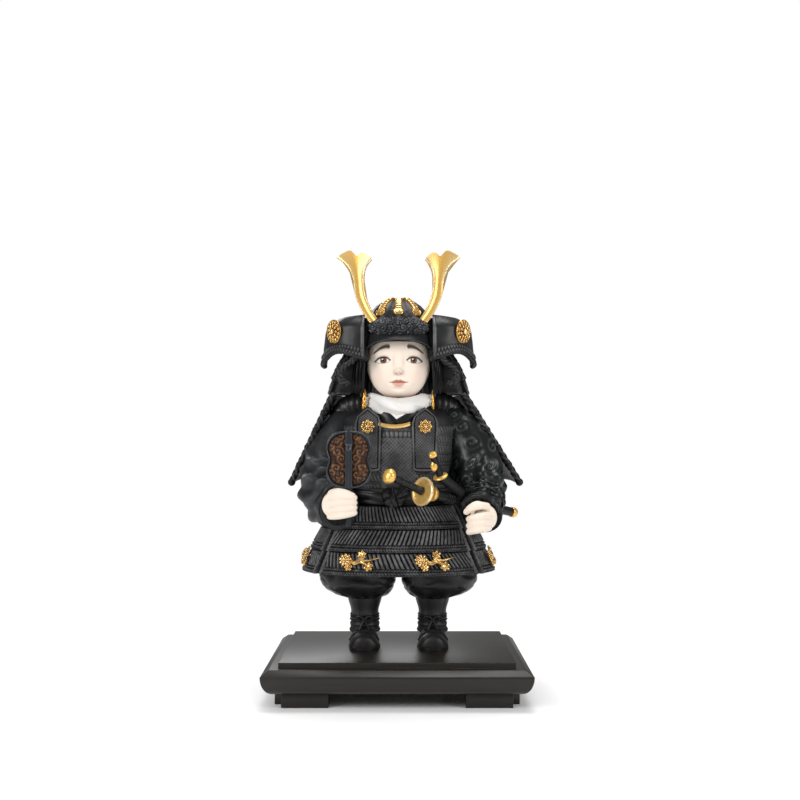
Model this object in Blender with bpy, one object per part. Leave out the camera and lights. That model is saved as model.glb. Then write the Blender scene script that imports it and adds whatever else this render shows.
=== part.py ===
# Samurai boy doll: a standing figure in laced armour on a moulded wooden stand.
# Sizes are in millimetres and become metres when a mesh is finished.
# The figure faces -Y, +Z is up, and the origin lies under the middle of the stand.
import math

import bmesh
import bpy
from mathutils import Vector

MM = 0.001
GAP = 0.3
WELD = 0.0005
FLAT_ANGLE = 3.0

# Stand: a board on a moulded frame with four corner feet
BOARD_WIDTH = 220.4
BOARD_DEPTH = 173.2
BOARD_THICKNESS = 5.0
FRAME_OVERHANG = 15.3
FRAME_LEDGE = 8.0
FRAME_SLOPE = 5.4
FRAME_ROUND = 17.3
FRAME_INSET = 11.0
FOOT_HEIGHT = 14.0
FOOT_WIDTH = 44.0
FOOT_SETBACK = 4.8
FOOT_NOTCH = 7.5
FOOT_THICKNESS = 15.0

# Heights of the figure, each measured up from the one before it
BOOT_HEIGHT = 32.0
SHIN_HEIGHT = 17.0
TROUSER_HEIGHT = 97.0
TORSO_HEIGHT = 97.0
CHIN_CLEARANCE = 1.5
HEAD_HEIGHT = 82.0
HELMET_RIM_RISE = 56.0
HELMET_HEIGHT = 46.5

# Boots and legs
STANCE = 34.0
BOOT_WIDTH = 29.0
BOOT_LENGTH = 62.0
BOOT_TOE_Y = -30.0
SOLE_THICKNESS = 3.0
SOLE_WELT = 1.0
SHIN_WIDTH = 31.0
ANKLE_WIDTH = 27.0

# Trousers
PUFF_WIDTH = 76.0
PUFF_DEPTH = 66.0
PUFF_SPREAD = 40.0
HIP_WIDTH = 112.0
HIP_DEPTH = 80.0
TROUSER_FOLDS = 8
TROUSER_FOLD_DEPTH = 1.0

# Skirt of four laced panels
SKIRT_TOP_WIDTH = 132.0
SKIRT_TOP_DEPTH = 98.0
SKIRT_HEM_WIDTH = 190.0
SKIRT_HEM_DEPTH = 128.0
SKIRT_LENGTH = 66.0
SKIRT_DROP = 4.0
SKIRT_ROWS = 3
SKIRT_STEP = 2.2
SKIRT_THICKNESS = 3.6
FRONT_PANEL_ARC = 104.0
SIDE_PANEL_ARC = 66.0
PANEL_SPACE = 5.0
LACE_PITCH = 25.0
LACE_DEPTH = 0.9
LACE_SLANT = 3.0
PANEL_SHELF = 12.0

# Body armour
WAIST_WIDTH = 104.0
WAIST_DEPTH = 78.0
CHEST_WIDTH = 118.0
CHEST_DEPTH = 86.0
NECK_WIDTH = 52.0
CHEST_ROWS = 7
CHEST_ROW_DEPTH = 0.7
SASH_HEIGHT = 17.0
SASH_THICKNESS = 4.5
KNOT_WIDTH = 25.0
KNOT_HEIGHT = 23.0
KNOT_X = -2.5
BAND_WIDTH = 4.0
BAND_RISE = 72.0

# Boards that hang on the chest, with a flower on each
CHEST_BOARD_WIDTH = 26.5
CHEST_BOARD_LENGTH = 62.0
CHEST_BOARD_PEAK = 9.0
CHEST_BOARD_THICKNESS = 5.0
CHEST_BOARD_X = 27.5
CHEST_BOARD_DROP = 7.0
CHEST_BOARD_RIM = 2.2
FLOWER_DIAMETER = 14.0
FLOWER_THICKNESS = 3.2
FLOWER_PETALS = 6
FLOWER_DROP = 19.0

# Head, scarf and hair
HEAD_WIDTH = 63.5
HEAD_DEPTH = 66.0
HEAD_Y = -9.0
FIGURE_X = 1.2
SCARF_WIDTH = 67.0
SCARF_DEPTH = 70.0
SCARF_HEIGHT = 19.0
SCARF_FOLDS = 3
HAIR_WIDTH = 90.0
HAIR_DEPTH = 70.0
HAIR_Y = 11.0
HAIR_LENGTH = 53.0
TASSEL_DIAMETER = 4.2
TASSEL_LENGTH = 20.0

# Helmet
HELMET_WIDTH = 72.0
HELMET_DEPTH = 80.0
HELMET_Y = -7.0
PAD_WIDTH = 58.0
PAD_HEIGHT = 23.0
PAD_FORWARD = 25.0
PAD_RISE = 18.0
VISOR_ARC = 122.0
VISOR_REACH = 9.0
VISOR_THICKNESS = 2.6
VISOR_DROP = 7.0
STRAP_WIDTH = 6.0
STRAP_THICKNESS = 1.4
STRAP_SPREAD = 36.0
STRAP_TOP = 0.955
STRAP_FOOT = 0.56
HORN_HEIGHT = 75.5
HORN_REACH = 61.4
HORN_THICKNESS = 3.4
HORN_DISH = 1.0
HORN_RIM = 1.5
HORN_LEAN = 12.0
NECK_GUARD_WIDTH = 150.0
NECK_GUARD_DEPTH = 128.0
NECK_GUARD_TOP_WIDTH = 78.0
NECK_GUARD_DROP = 53.0
NECK_GUARD_ROWS = 4
NECK_GUARD_ARC = 214.0
NECK_GUARD_THICKNESS = 3.2
TURNBACK_WIDTH = 42.0
TURNBACK_X = 33.0
TURNBACK_DEPTH = 38.0
TURNBACK_HEIGHT = 46.0
TURNBACK_THICKNESS = 3.4
TURNBACK_RISE = -16.5
ROSETTE_DIAMETER = 22.0
ROSETTE_THICKNESS = 4.0
ROSETTE_PETALS = 7

# Arms: the path of each sleeve is given in shares of ARM_LENGTH
ARM_LENGTH = 100.0
SHOULDER_DROP = 13.0
SHOULDER_INSET = 15.0
SLEEVE_DIAMETER = 48.0
SLEEVE_FOLDS = 7
SLEEVE_FOLD_DEPTH = 1.1
CUFF_WALL = 3.0
CUFF_RECESS = 7.0
SHOULDER_GUARD_ROWS = 5
SHOULDER_GUARD_THICKNESS = 4.0
SHOULDER_GUARD_BULGE = 7.0
SHOULDER_GUARD_LENGTH = 86.0
SHOULDER_GUARD_RISE = 7.0
SHOULDER_GUARD_OUT = 67.0
SHOULDER_GUARD_IN = 44.0
SHOULDER_GUARD_FRONT_Y = -6.0
SHOULDER_GUARD_BACK_Y = 38.0
SHOULDER_GUARD_FLARE = 12.0
GUARD_SPREAD = {"left": 40.0, "right": 56.0}
HAND_WIDTH = 27.0
FINGER_DIAMETER = 7.8
THUMB_DIAMETER = 7.0
WRIST_DIAMETER = 20.0
FREE_HAND_X = 78.0
FREE_HAND_Y = -57.0
FREE_HAND_DROP = 14.0
FAN_HAND_OUT = 10.0
FAN_HAND_BEHIND = 6.0

# Fan
FAN_WIDTH = 42.0
FAN_HEIGHT = 54.0
FAN_WAIST = 0.18
FAN_THICKNESS = 4.0
FAN_FRAME = 2.6
FAN_RIB_WIDTH = 6.6
FAN_RIB_THICKNESS = 1.6
FAN_HANDLE_DIAMETER = 5.0
FAN_HANDLE_LENGTH = 36.0
FAN_FORWARD = 79.0
FAN_X = -45.0
FAN_RISE = 41.5
FAN_SQUARENESS = 2.8

# Swords: each starts in front of the hips, and its two ends have a heading each
LONG_SWORD_X = 24.0
LONG_SWORD_FORWARD = 25.0
LONG_SWORD_RISE = 11.0
LONG_HILT_HEADING = (-31, -20, 15)
LONG_SCABBARD_HEADING = (90, 78, -24)
HILT_DIAMETER = 7.0
HILT_LENGTH = 37.0
POMMEL_DIAMETER = 13.0
POMMEL_LENGTH = 6.0
GUARD_DIAMETER = 28.0
GUARD_THICKNESS = 2.6
COLLAR_DIAMETER = 12.0
COLLAR_LENGTH = 5.0
COLLAR_NECK = 9.0
SCABBARD_DIAMETER = 10.0
SCABBARD_LENGTH = 122.0
TIP_LENGTH = 8.0
SHORT_SWORD_X = 44.0
SHORT_SWORD_FORWARD = 19.0
SHORT_SWORD_RISE = 22.0
SHORT_HILT_HEADING = (-8, -9, 22)
SHORT_SCABBARD_HEADING = (20, 15, -16)
SHORT_HILT_LENGTH = 27.0
SHORT_HILT_DIAMETER = 6.4
SHORT_POMMEL_LENGTH = 5.0
SHORT_POMMEL_DIAMETER = 8.0
SHORT_GUARD_THICKNESS = 2.4
SHORT_SCABBARD_DIAMETER = 9.5
SHORT_GUARD_DIAMETER = 13.0
SHORT_SCABBARD_LENGTH = 31.0

# Gilt ribbons on the skirt
RIBBON_WIDTH = 36.0
RIBBON_HEIGHT = 19.0
RIBBON_THICKNESS = 9.0
RIBBON_X = 36.0
RIBBON_RISE = 14.0

# Finishes: colour, roughness, metallic
ARMOUR = ((0.045, 0.046, 0.048), 0.55, 0.0)
CLOTH_BLACK = ((0.03, 0.031, 0.032), 0.42, 0.0)
CLOTH_GREY = ((0.05, 0.051, 0.053), 0.6, 0.0)
LEATHER = ((0.02, 0.02, 0.02), 0.4, 0.0)
GILT = ((0.83, 0.56, 0.16), 0.22, 1.0)
SKIN = ((0.82, 0.70, 0.60), 0.4, 0.0)
LINEN = ((0.86, 0.85, 0.83), 0.5, 0.0)
HAIR = ((0.02, 0.02, 0.021), 0.5, 0.0)
LACQUER = ((0.22, 0.10, 0.03), 0.35, 0.0)
STEEL = ((0.12, 0.13, 0.15), 0.35, 0.4)
WOOD = ((0.018, 0.014, 0.013), 0.35, 0.0)

# Heights that the pieces share
BOARD_TOP = FOOT_HEIGHT + GAP + FRAME_ROUND + FRAME_SLOPE + BOARD_THICKNESS
SOLE = BOARD_TOP + GAP
ANKLE = SOLE + BOOT_HEIGHT
KNEE = ANKLE + SHIN_HEIGHT
WAIST = KNEE + TROUSER_HEIGHT
NECK = WAIST + TORSO_HEIGHT
CHIN = NECK + CHIN_CLEARANCE
HELMET_RIM = CHIN + HELMET_RIM_RISE
SKIRT_TOP = WAIST - SKIRT_DROP
SHOULDER = NECK - SHOULDER_DROP
SHOULDER_X = CHEST_WIDTH / 2 - SHOULDER_INSET

# The fan arm is on the left of the photograph
SIDES = ((-1, "left"), (1, "right"))


def spline(rows, steps):
    """Rows of numbers joined by a smooth curve, with so many steps between two rows."""
    smooth = []
    for index in range(len(rows) - 1):
        before = rows[max(index - 1, 0)]
        after = rows[min(index + 2, len(rows) - 1)]
        for step in range(steps):
            t = step / steps
            smooth.append(tuple(
                0.5 * (2 * b + (c - a) * t + (2 * a - 5 * b + 4 * c - d) * t ** 2
                       + (3 * b - a - 3 * c + d) * t ** 3)
                for a, b, c, d in zip(before, rows[index], rows[index + 1], after)))
    smooth.append(tuple(rows[-1]))
    return smooth


def finished(bm, name, look):
    """Turns a closed bmesh in millimetres into an object in metres with its own material."""
    bmesh.ops.remove_doubles(bm, verts=bm.verts, dist=WELD)
    bmesh.ops.recalc_face_normals(bm, faces=bm.faces)
    # Bent quads are split here, so that a seat is cut by exactly the faces that the carrier keeps
    bmesh.ops.triangulate(bm, faces=bm.faces)
    bmesh.ops.scale(bm, vec=(MM, MM, MM), verts=bm.verts)
    mesh = bpy.data.meshes.new(name)
    bm.to_mesh(mesh)
    bm.free()
    mesh.shade_smooth()
    mesh.set_sharp_from_angle(angle=math.radians(40))
    piece = bpy.data.objects.new(name, mesh)
    bpy.context.collection.objects.link(piece)
    colour, roughness, metallic = look
    material = bpy.data.materials.new(name + "_finish")
    material.use_nodes = True
    shader = material.node_tree.nodes["Principled BSDF"]
    shader.inputs["Base Color"].default_value = (*colour, 1.0)
    shader.inputs["Roughness"].default_value = roughness
    shader.inputs["Metallic"].default_value = metallic
    mesh.materials.append(material)
    return piece


def surface(bm, across, along, place):
    """Lays a grid of quads where place(u, v) says, with u and v from 0 to 1."""
    made = bmesh.ops.create_grid(bm, x_segments=across, y_segments=along, size=0.5)
    grid = {}
    for vert in made["verts"]:
        u, v = vert.co.x + 0.5, vert.co.y + 0.5
        grid[round(u * across), round(v * along)] = vert
        vert.co = place(u, v)
    return grid


def cap_ends(bm):
    """Welds the seam and fills each open end with one face."""
    bmesh.ops.remove_doubles(bm, verts=bm.verts, dist=WELD)
    rim = [edge for edge in bm.edges if edge.is_boundary]
    return bmesh.ops.holes_fill(bm, edges=rim, sides=0)["faces"]


def stack(name, rows, sides, look, relief=None):
    """A body through level rings, each row holding height, width, depth, x and y."""
    bm = bmesh.new()
    last = len(rows) - 1

    def place(u, v):
        height, width, depth, x, y = rows[round(v * last)]
        turn = 2 * math.pi * u
        grow = relief(turn, v) if relief else 0.0
        return Vector((x + (width / 2 + grow) * math.sin(turn),
                       y - (depth / 2 + grow) * math.cos(turn), height))

    surface(bm, sides, last, place)
    cap_ends(bm)
    return finished(bm, name, look)


def limb(name, rows, sides, look, relief=None, recess=None):
    """A body along a path, each row holding x, y, z, width and height across the path."""
    bm = bmesh.new()
    last = len(rows) - 1
    middles = [Vector(row[:3]) for row in rows]

    def place(u, v):
        index = round(v * last)
        tangent = (middles[min(index + 1, last)] - middles[max(index - 1, 0)]).normalized()
        side = Vector((1, 0, 0)) if abs(tangent.x) < 0.9 else Vector((0, 1, 0))
        side = (side - tangent * side.dot(tangent)).normalized()
        rise = tangent.cross(side)
        turn = 2 * math.pi * u
        grow = relief(turn, v) if relief else 0.0
        return (middles[index] + side * (rows[index][3] / 2 + grow) * math.cos(turn)
                + rise * (rows[index][4] / 2 + grow) * math.sin(turn))

    surface(bm, sides, last, place)
    caps = cap_ends(bm)
    if recess:
        wall, depth = recess
        mouth = min(caps, key=lambda face: (face.calc_center_median() - middles[-1]).length)
        bmesh.ops.inset_region(bm, faces=[mouth], thickness=wall, use_even_offset=True)
        back = (middles[-2] - middles[-1]).normalized() * depth
        bmesh.ops.translate(bm, vec=back, verts=list(mouth.verts))
    return finished(bm, name, look)


def shell(name, across, along, outer, inner, look, inner_along=1):
    """A curved plate: a worked outer face and a plain inner one, joined round their rims."""
    bm = bmesh.new()
    front = surface(bm, across, along, outer)
    back = surface(bm, across, inner_along, inner)
    for here in range(across):
        for rim, edge in ((0, 0), (along, inner_along)):
            bm.faces.new((front[here, rim], front[here + 1, rim], back[here + 1, edge], back[here, edge]))
    for here in (0, across):
        bm.faces.new([front[here, row] for row in range(along + 1)]
                     + [back[here, row] for row in range(inner_along, -1, -1)])
    return finished(bm, name, look)


def plate(name, outline, thickness, look, rim=0.0, dish=0.0):
    """A flat plate of an outline in x and z, its front lying thickness ahead of y = 0."""
    bm = bmesh.new()
    corners = [bm.verts.new((x, 0, z)) for x, z in outline]
    face = bm.faces.new(corners)
    made = bmesh.ops.extrude_face_region(bm, geom=[face])["geom"]
    front = [item for item in made if isinstance(item, bmesh.types.BMFace)]
    bmesh.ops.translate(bm, vec=(0, -thickness, 0), verts=list(front[0].verts))
    if rim:
        bmesh.ops.inset_region(bm, faces=front, thickness=rim, use_even_offset=True)
        bmesh.ops.translate(bm, vec=(0, dish, 0), verts=list(front[0].verts))
    return finished(bm, name, look)


# Rings of a flower from rim to heart: share of the radius and of the thickness
BLOOM = ((1.0, 0.0), (0.96, 0.6), (0.5, 0.9), (0.34, 0.55), (0.12, 1.05))
CURL = ((1.0, 0.0), (0.9, 0.95), (0.35, 0.75))


def flower(name, diameter, thickness, petals, look, rings=BLOOM):
    """A round gilt flower facing -Y: a scalloped disc that rises to a domed heart."""
    bm = bmesh.new()
    last = len(rings) - 1

    def place(u, v):
        radius, rise = rings[round(v * last)]
        turn = 2 * math.pi * u
        scallop = 1 + (0.07 * math.cos(petals * turn) if radius > 0.5 else 0)
        reach = diameter / 2 * radius * scallop
        return Vector((reach * math.sin(turn), -thickness * rise, reach * math.cos(turn)))

    surface(bm, petals * 2, last, place)
    cap_ends(bm)
    return finished(bm, name, look)


def move(piece, x=0.0, y=0.0, z=0.0, turn_x=0.0, turn_y=0.0, turn_z=0.0):
    """Turns a piece about its own origin and puts it in place, in degrees and millimetres."""
    piece.rotation_euler = (math.radians(turn_x), math.radians(turn_y), math.radians(turn_z))
    piece.location = (x * MM, y * MM, z * MM)
    settle(piece)
    return piece


def settle(piece):
    """Puts a piece's place, modifiers and all, into its mesh."""
    bpy.context.view_layer.update()
    graph = bpy.context.evaluated_depsgraph_get()
    mesh = bpy.data.meshes.new_from_object(piece.evaluated_get(graph))
    mesh.transform(piece.matrix_world)
    mesh.name = piece.name
    piece.modifiers.clear()
    piece.data = mesh
    piece.rotation_euler = (0, 0, 0)
    piece.location = (0, 0, 0)


def largest_body(bm):
    """Deletes the scraps that a cut leaves beside the main body."""
    unseen = set(bm.verts)
    bodies = []
    while unseen:
        body = set()
        front = [unseen.pop()]
        while front:
            vert = front.pop()
            body.add(vert)
            for edge in vert.link_edges:
                other = edge.other_vert(vert)
                if other in unseen:
                    unseen.discard(other)
                    front.append(other)
        bodies.append(body)
    bodies.sort(key=lambda body: Vector([
        max(vert.co[axis] for vert in body) - min(vert.co[axis] for vert in body)
        for axis in range(3)]).length)
    for scrap in bodies[:-1]:
        bmesh.ops.delete(bm, geom=list(scrap), context="VERTS")


def combine(piece, other, operation):
    """One Boolean with another object, its result written into the piece's mesh.

    Seats lie a fraction of a millimetre from the faces they follow. The exact solver leaves open
    slivers there, so the manifold solver is used, which always gives closed bodies.
    """
    step = piece.modifiers.new("step", "BOOLEAN")
    step.operation = operation
    step.object = other
    step.solver = "MANIFOLD"
    settle(piece)
    bpy.data.objects.remove(other)
    bm = bmesh.new()
    bm.from_mesh(piece.data)
    largest_body(bm)
    # Slivers that lie in one plane with their neighbours are merged before the split into triangles
    bmesh.ops.dissolve_limit(bm, angle_limit=math.radians(FLAT_ANGLE), verts=bm.verts, edges=bm.edges)
    bmesh.ops.triangulate(bm, faces=bm.faces)
    bm.to_mesh(piece.data)
    bm.free()
    return piece


def seat(piece, *carriers):
    """Cuts a piece so that it sits on its carriers with the seating gap between them."""
    for carrier in carriers:
        grown = bmesh.new()
        grown.from_mesh(carrier.data)
        grown.normal_update()
        for vert in grown.verts:
            vert.co += vert.normal * GAP * MM * min(vert.calc_shell_factor(), 2.0)
        mesh = bpy.data.meshes.new("seat_cutter")
        grown.to_mesh(mesh)
        grown.free()
        cutter = bpy.data.objects.new("seat_cutter", mesh)
        cutter.hide_render = True
        cutter.display_type = "WIRE"
        bpy.context.collection.objects.link(cutter)
        combine(piece, cutter, "DIFFERENCE")
    return piece


def mirrored(offset, side):
    """An x on one side of the figure's middle: side is -1 for the fan arm, 1 for the other."""
    return FIGURE_X + side * offset


def rectangle(half_x, half_y, height):
    """The four corners of a level rectangle."""
    return [Vector((x, y, height)) for x, y in
            ((-half_x, -half_y), (half_x, -half_y), (half_x, half_y), (-half_x, half_y))]


def make_stand():
    """A board on a moulded frame, and four feet with notched corners."""
    bm = bmesh.new()
    top = BOARD_TOP
    ledge = top - BOARD_THICKNESS
    widest = ledge - FRAME_SLOPE
    low = FOOT_HEIGHT + GAP
    profile = [(0, top), (0, ledge), (FRAME_LEDGE, ledge), (FRAME_OVERHANG, widest)]
    for step in range(1, 6):
        turn = math.pi / 2 * step / 5
        profile.append((FRAME_OVERHANG - FRAME_INSET * (1 - math.cos(turn)),
                        widest - (widest - low) * math.sin(turn)))
    loops = [rectangle(BOARD_WIDTH / 2 + out, BOARD_DEPTH / 2 + out, height)
             for out, height in profile]
    last = len(loops) - 1
    surface(bm, 4, last, lambda u, v: loops[round(v * last)][round(u * 4) % 4])
    cap_ends(bm)
    stand = finished(bm, "stand_board", WOOD)
    feet = []
    reach_x = BOARD_WIDTH / 2 + FOOT_SETBACK
    reach_y = BOARD_DEPTH / 2 + FRAME_OVERHANG - FRAME_INSET - FOOT_SETBACK
    for label, side, end in (("front_left", -1, -1), ("front_right", 1, -1),
                             ("back_left", -1, 1), ("back_right", 1, 1)):
        outline = ((0, 0), (FOOT_WIDTH, 0), (FOOT_WIDTH, FOOT_THICKNESS),
                   (FOOT_THICKNESS, FOOT_THICKNESS), (FOOT_THICKNESS, FOOT_WIDTH),
                   (-FOOT_NOTCH, FOOT_WIDTH), (-FOOT_NOTCH, FOOT_THICKNESS),
                   (0, FOOT_THICKNESS))
        bm = bmesh.new()
        ring = [bm.verts.new((side * (reach_x - FOOT_NOTCH - x), end * (reach_y - y), 0))
                for x, y in outline]
        made = bmesh.ops.extrude_face_region(bm, geom=[bm.faces.new(ring)])["geom"]
        lifted = [item for item in made if isinstance(item, bmesh.types.BMVert)]
        bmesh.ops.translate(bm, vec=(0, 0, FOOT_HEIGHT), verts=lifted)
        feet.append(finished(bm, "stand_foot_" + label, WOOD))
    return stand, feet


def make_boot(side, label):
    """A boot: foot and shaft joined on a welted sole."""
    x = mirrored(STANCE, side)
    toe = BOOT_TOE_Y
    half = BOOT_WIDTH / 2
    # Along the foot: share of the length, width and height
    stations = spline(((0.0, 0.5, 0.24), (0.05, 0.78, 0.36), (0.22, 0.98, 0.47), (0.5, 0.96, 0.66),
                       (0.8, 0.86, 0.72), (1.0, 0.55, 0.62)), 1)
    bm = bmesh.new()
    last = len(stations) - 1

    def place(u, v):
        share, width, height = stations[round(v * last)]
        turn = 2 * math.pi * u
        tall = (BOOT_HEIGHT - SOLE_THICKNESS) * height
        lift = math.sin(turn) if math.sin(turn) > 0 else 0.08 * math.sin(turn)
        rise = SOLE + SOLE_THICKNESS - 0.5 + tall * lift
        return Vector((x + width * half * math.cos(turn), toe + BOOT_LENGTH * share, rise))

    surface(bm, 10, last, place)
    cap_ends(bm)
    boot = finished(bm, "boot_" + label, LEATHER)
    shaft_y = toe + BOOT_LENGTH * 0.62
    shaft = stack("shaft", ((SOLE + SOLE_THICKNESS, BOOT_WIDTH * 0.9, BOOT_LENGTH * 0.56, x, shaft_y),
                            (SOLE + BOOT_HEIGHT * 0.6, BOOT_WIDTH * 0.92, BOOT_LENGTH * 0.52, x, shaft_y),
                            (ANKLE, ANKLE_WIDTH, ANKLE_WIDTH, x, shaft_y)), 8, LEATHER)
    combine(boot, shaft, "UNION")
    outline = []
    for step in range(10):
        turn = 2 * math.pi * step / 10
        broad = half + SOLE_WELT - (1.5 if math.cos(turn) < -0.5 else 0)
        outline.append((x + broad * math.sin(turn) * (1 if abs(math.cos(turn)) < 0.8 else 1.2),
                        toe + BOOT_LENGTH / 2 - (BOOT_LENGTH / 2 + SOLE_WELT) * math.cos(turn)))
    bm = bmesh.new()
    ring = [bm.verts.new((a, b, SOLE)) for a, b in outline]
    made = bmesh.ops.extrude_face_region(bm, geom=[bm.faces.new(ring)])["geom"]
    lifted = [item for item in made if isinstance(item, bmesh.types.BMVert)]
    bmesh.ops.translate(bm, vec=(0, 0, SOLE_THICKNESS), verts=lifted)
    combine(boot, finished(bm, "sole", LEATHER), "UNION")
    return boot


def add_shin(side, boot):
    """Joins the leg between boot and trousers, with the upright splints of a shin guard."""
    x = mirrored(STANCE, side)
    y = BOOT_TOE_Y + BOOT_LENGTH * 0.62
    rows = ((ANKLE - 4, ANKLE_WIDTH - 3, ANKLE_WIDTH - 3, x, y),
            (ANKLE + 1, ANKLE_WIDTH + 1, ANKLE_WIDTH + 1, x, y),
            (KNEE - 4, SHIN_WIDTH, SHIN_WIDTH, x, y),
            (KNEE + 5, SHIN_WIDTH - 2, SHIN_WIDTH - 2, x, y))
    shin = stack("shin", rows, 12, LEATHER, lambda turn, v: 0.5 * math.cos(6 * turn))
    return combine(boot, shin, "UNION")


def make_trousers(boots):
    """Full trousers gathered above the shins, two puffs joined at the hips."""
    def folds(turn, v):
        return TROUSER_FOLD_DEPTH * math.cos(TROUSER_FOLDS * turn) * max(0.0, 1 - 1.5 * v)

    y = BOOT_TOE_Y + BOOT_LENGTH * 0.55
    body = stack("trousers", ((KNEE + TROUSER_HEIGHT * 0.42, HIP_WIDTH * 0.9, HIP_DEPTH * 0.7, FIGURE_X, 0),
                              (KNEE + TROUSER_HEIGHT * 0.7, HIP_WIDTH, HIP_DEPTH, FIGURE_X, 0),
                              (WAIST, HIP_WIDTH * 0.96, HIP_DEPTH * 0.96, FIGURE_X, 0)), 14, CLOTH_BLACK)
    for side, label in SIDES:
        near = mirrored(STANCE, side)
        out = mirrored(PUFF_SPREAD, side)
        rows = spline(((KNEE - 1, SHIN_WIDTH + 2, SHIN_WIDTH + 2, near, y),
                       (KNEE + 3, PUFF_WIDTH * 0.72, PUFF_DEPTH * 0.72, (near + out) / 2, y),
                       (KNEE + 12, PUFF_WIDTH * 0.97, PUFF_DEPTH, out, y),
                       (KNEE + 27, PUFF_WIDTH, PUFF_DEPTH, out, y),
                       (KNEE + TROUSER_HEIGHT * 0.62, HIP_WIDTH / 2, HIP_DEPTH * 0.86,
                        mirrored(HIP_WIDTH / 4, side), y / 2)), 1)
        combine(body, stack("leg_" + label, rows, 16, CLOTH_BLACK, folds), "UNION")
    return seat(body, *boots)


def make_torso():
    """The body armour: a waist, a full chest in level rows and a sloped shoulder."""
    low = WAIST + GAP
    tall = NECK - low
    rows = spline(((low, WAIST_WIDTH, WAIST_DEPTH, FIGURE_X, 0),
                   (low + tall * 0.28, WAIST_WIDTH * 1.02, WAIST_DEPTH * 1.03, FIGURE_X, -1),
                   (low + tall * 0.55, CHEST_WIDTH * 0.97, CHEST_DEPTH, FIGURE_X, -1),
                   (low + tall * 0.78, CHEST_WIDTH, CHEST_DEPTH * 0.94, FIGURE_X, -1),
                   (low + tall * 0.9, CHEST_WIDTH * 0.86, CHEST_DEPTH * 0.8, FIGURE_X, -2),
                   (NECK, NECK_WIDTH, NECK_WIDTH, FIGURE_X, HEAD_Y / 2)), 2)

    def lames(turn, v):
        return CHEST_ROW_DEPTH * (CHEST_ROWS * v % 1.0) if v < 0.72 else 0.0

    return stack("body_armour", rows, 18, ARMOUR, lames)


def make_sash(torso, trousers):
    """The sash round the waist in three wraps, with a flat knot in front."""
    bm = bmesh.new()
    section = ((0.0, -1.0), (1.0, -0.7), (0.7, 0.0), (1.0, 0.6), (0.0, 1.0))
    mid = WAIST + SASH_HEIGHT * 0.34
    last = len(section)

    def place(u, v):
        out, rise = section[round(v * last) % last]
        turn = 2 * math.pi * u
        inner = 1.5
        return Vector((FIGURE_X + (HIP_WIDTH / 2 - inner + (SASH_THICKNESS + inner) * out) * math.sin(turn),
                       -(HIP_DEPTH / 2 - inner + (SASH_THICKNESS + inner) * out) * math.cos(turn),
                       mid + rise * SASH_HEIGHT / 2 - 1.5 * math.cos(turn)))

    surface(bm, 14, last, place)
    sash = finished(bm, "sash", CLOTH_BLACK)
    seat(sash, torso, trousers)
    outline = ((-0.5, 0.36), (-0.2, 0.5), (0.34, 0.48), (0.5, 0.3), (0.46, -0.1), (0.1, -0.44),
               (-0.08, -0.5), (-0.3, -0.36), (-0.46, -0.02))
    knot = plate("sash_knot", [(a * KNOT_WIDTH, b * KNOT_HEIGHT) for a, b in outline],
                 11.0, CLOTH_BLACK, rim=2.2, dish=-1.2)
    move(knot, KNOT_X, -HIP_DEPTH / 2 + 0.5, WAIST + 3, turn_x=-4)
    return sash, seat(knot, sash, torso, trousers)


def skirt_point(angle, height, out):
    """A point of the skirt: its angle from the front, share of the length down and stand-off."""
    width = SKIRT_TOP_WIDTH + (SKIRT_HEM_WIDTH - SKIRT_TOP_WIDTH) * height ** 0.9
    depth = SKIRT_TOP_DEPTH + (SKIRT_HEM_DEPTH - SKIRT_TOP_DEPTH) * height ** 0.9
    turn = math.radians(angle)
    return Vector((FIGURE_X + (width / 2 + out) * math.sin(turn), -(depth / 2 + out) * math.cos(turn),
                   SKIRT_TOP - SKIRT_LENGTH * height))


def skirt_envelope():
    """A plain guide round the outside of the skirt, which the sleeves are kept clear of."""
    rows = []
    for step in range(4):
        edge = skirt_point(90, step / 3, SKIRT_STEP + LACE_DEPTH)
        front = skirt_point(0, step / 3, SKIRT_STEP + LACE_DEPTH)
        rows.append((edge.z, 2 * (edge.x - FIGURE_X), -2 * front.y, FIGURE_X, 0))
    envelope = stack("skirt_envelope", rows[::-1], 24, ARMOUR)
    envelope.hide_render = True
    envelope.display_type = "WIRE"
    return envelope


def make_panel(name, middle, arc, carriers):
    """One skirt panel of laced rows, stepped at each row and ribbed by its slanted lacing."""
    radius = SKIRT_HEM_WIDTH / 2
    ribs = max(4, round(math.radians(arc) * radius / LACE_PITCH))
    levels = []
    for row in range(SKIRT_ROWS):
        top = row / SKIRT_ROWS
        levels += [(top, 0.0, 0.0), (top + 0.95 / SKIRT_ROWS, 1.0, 1.0)]
    levels.append((1.0, 0.6, 0.0))
    last = len(levels) - 1
    columns = ribs * 2

    def place(u, v):
        height, step, lace = levels[round(v * last)]
        edge = min(u, 1 - u) * arc
        slant = LACE_SLANT * (step - 0.5) * min(1.0, edge / 6) / radius * 57
        ridge = LACE_DEPTH * lace * (round(u * columns) % 2)
        return skirt_point(middle + arc * (u - 0.5) + slant, height, SKIRT_STEP * step + ridge)

    # The inner face: a thick shelf at the waist, then the plain wall
    shelf = ((0.0, -PANEL_SHELF), (0.09, -PANEL_SHELF), (0.13, -SKIRT_THICKNESS), (1.0, -SKIRT_THICKNESS))

    def inner(u, v):
        height, depth = shelf[round(v * (len(shelf) - 1))]
        return skirt_point(middle + arc * (u - 0.5), height, depth)

    panel = shell(name, columns, last, place, inner, ARMOUR, len(shelf) - 1)
    return seat(panel, *carriers)


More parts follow.
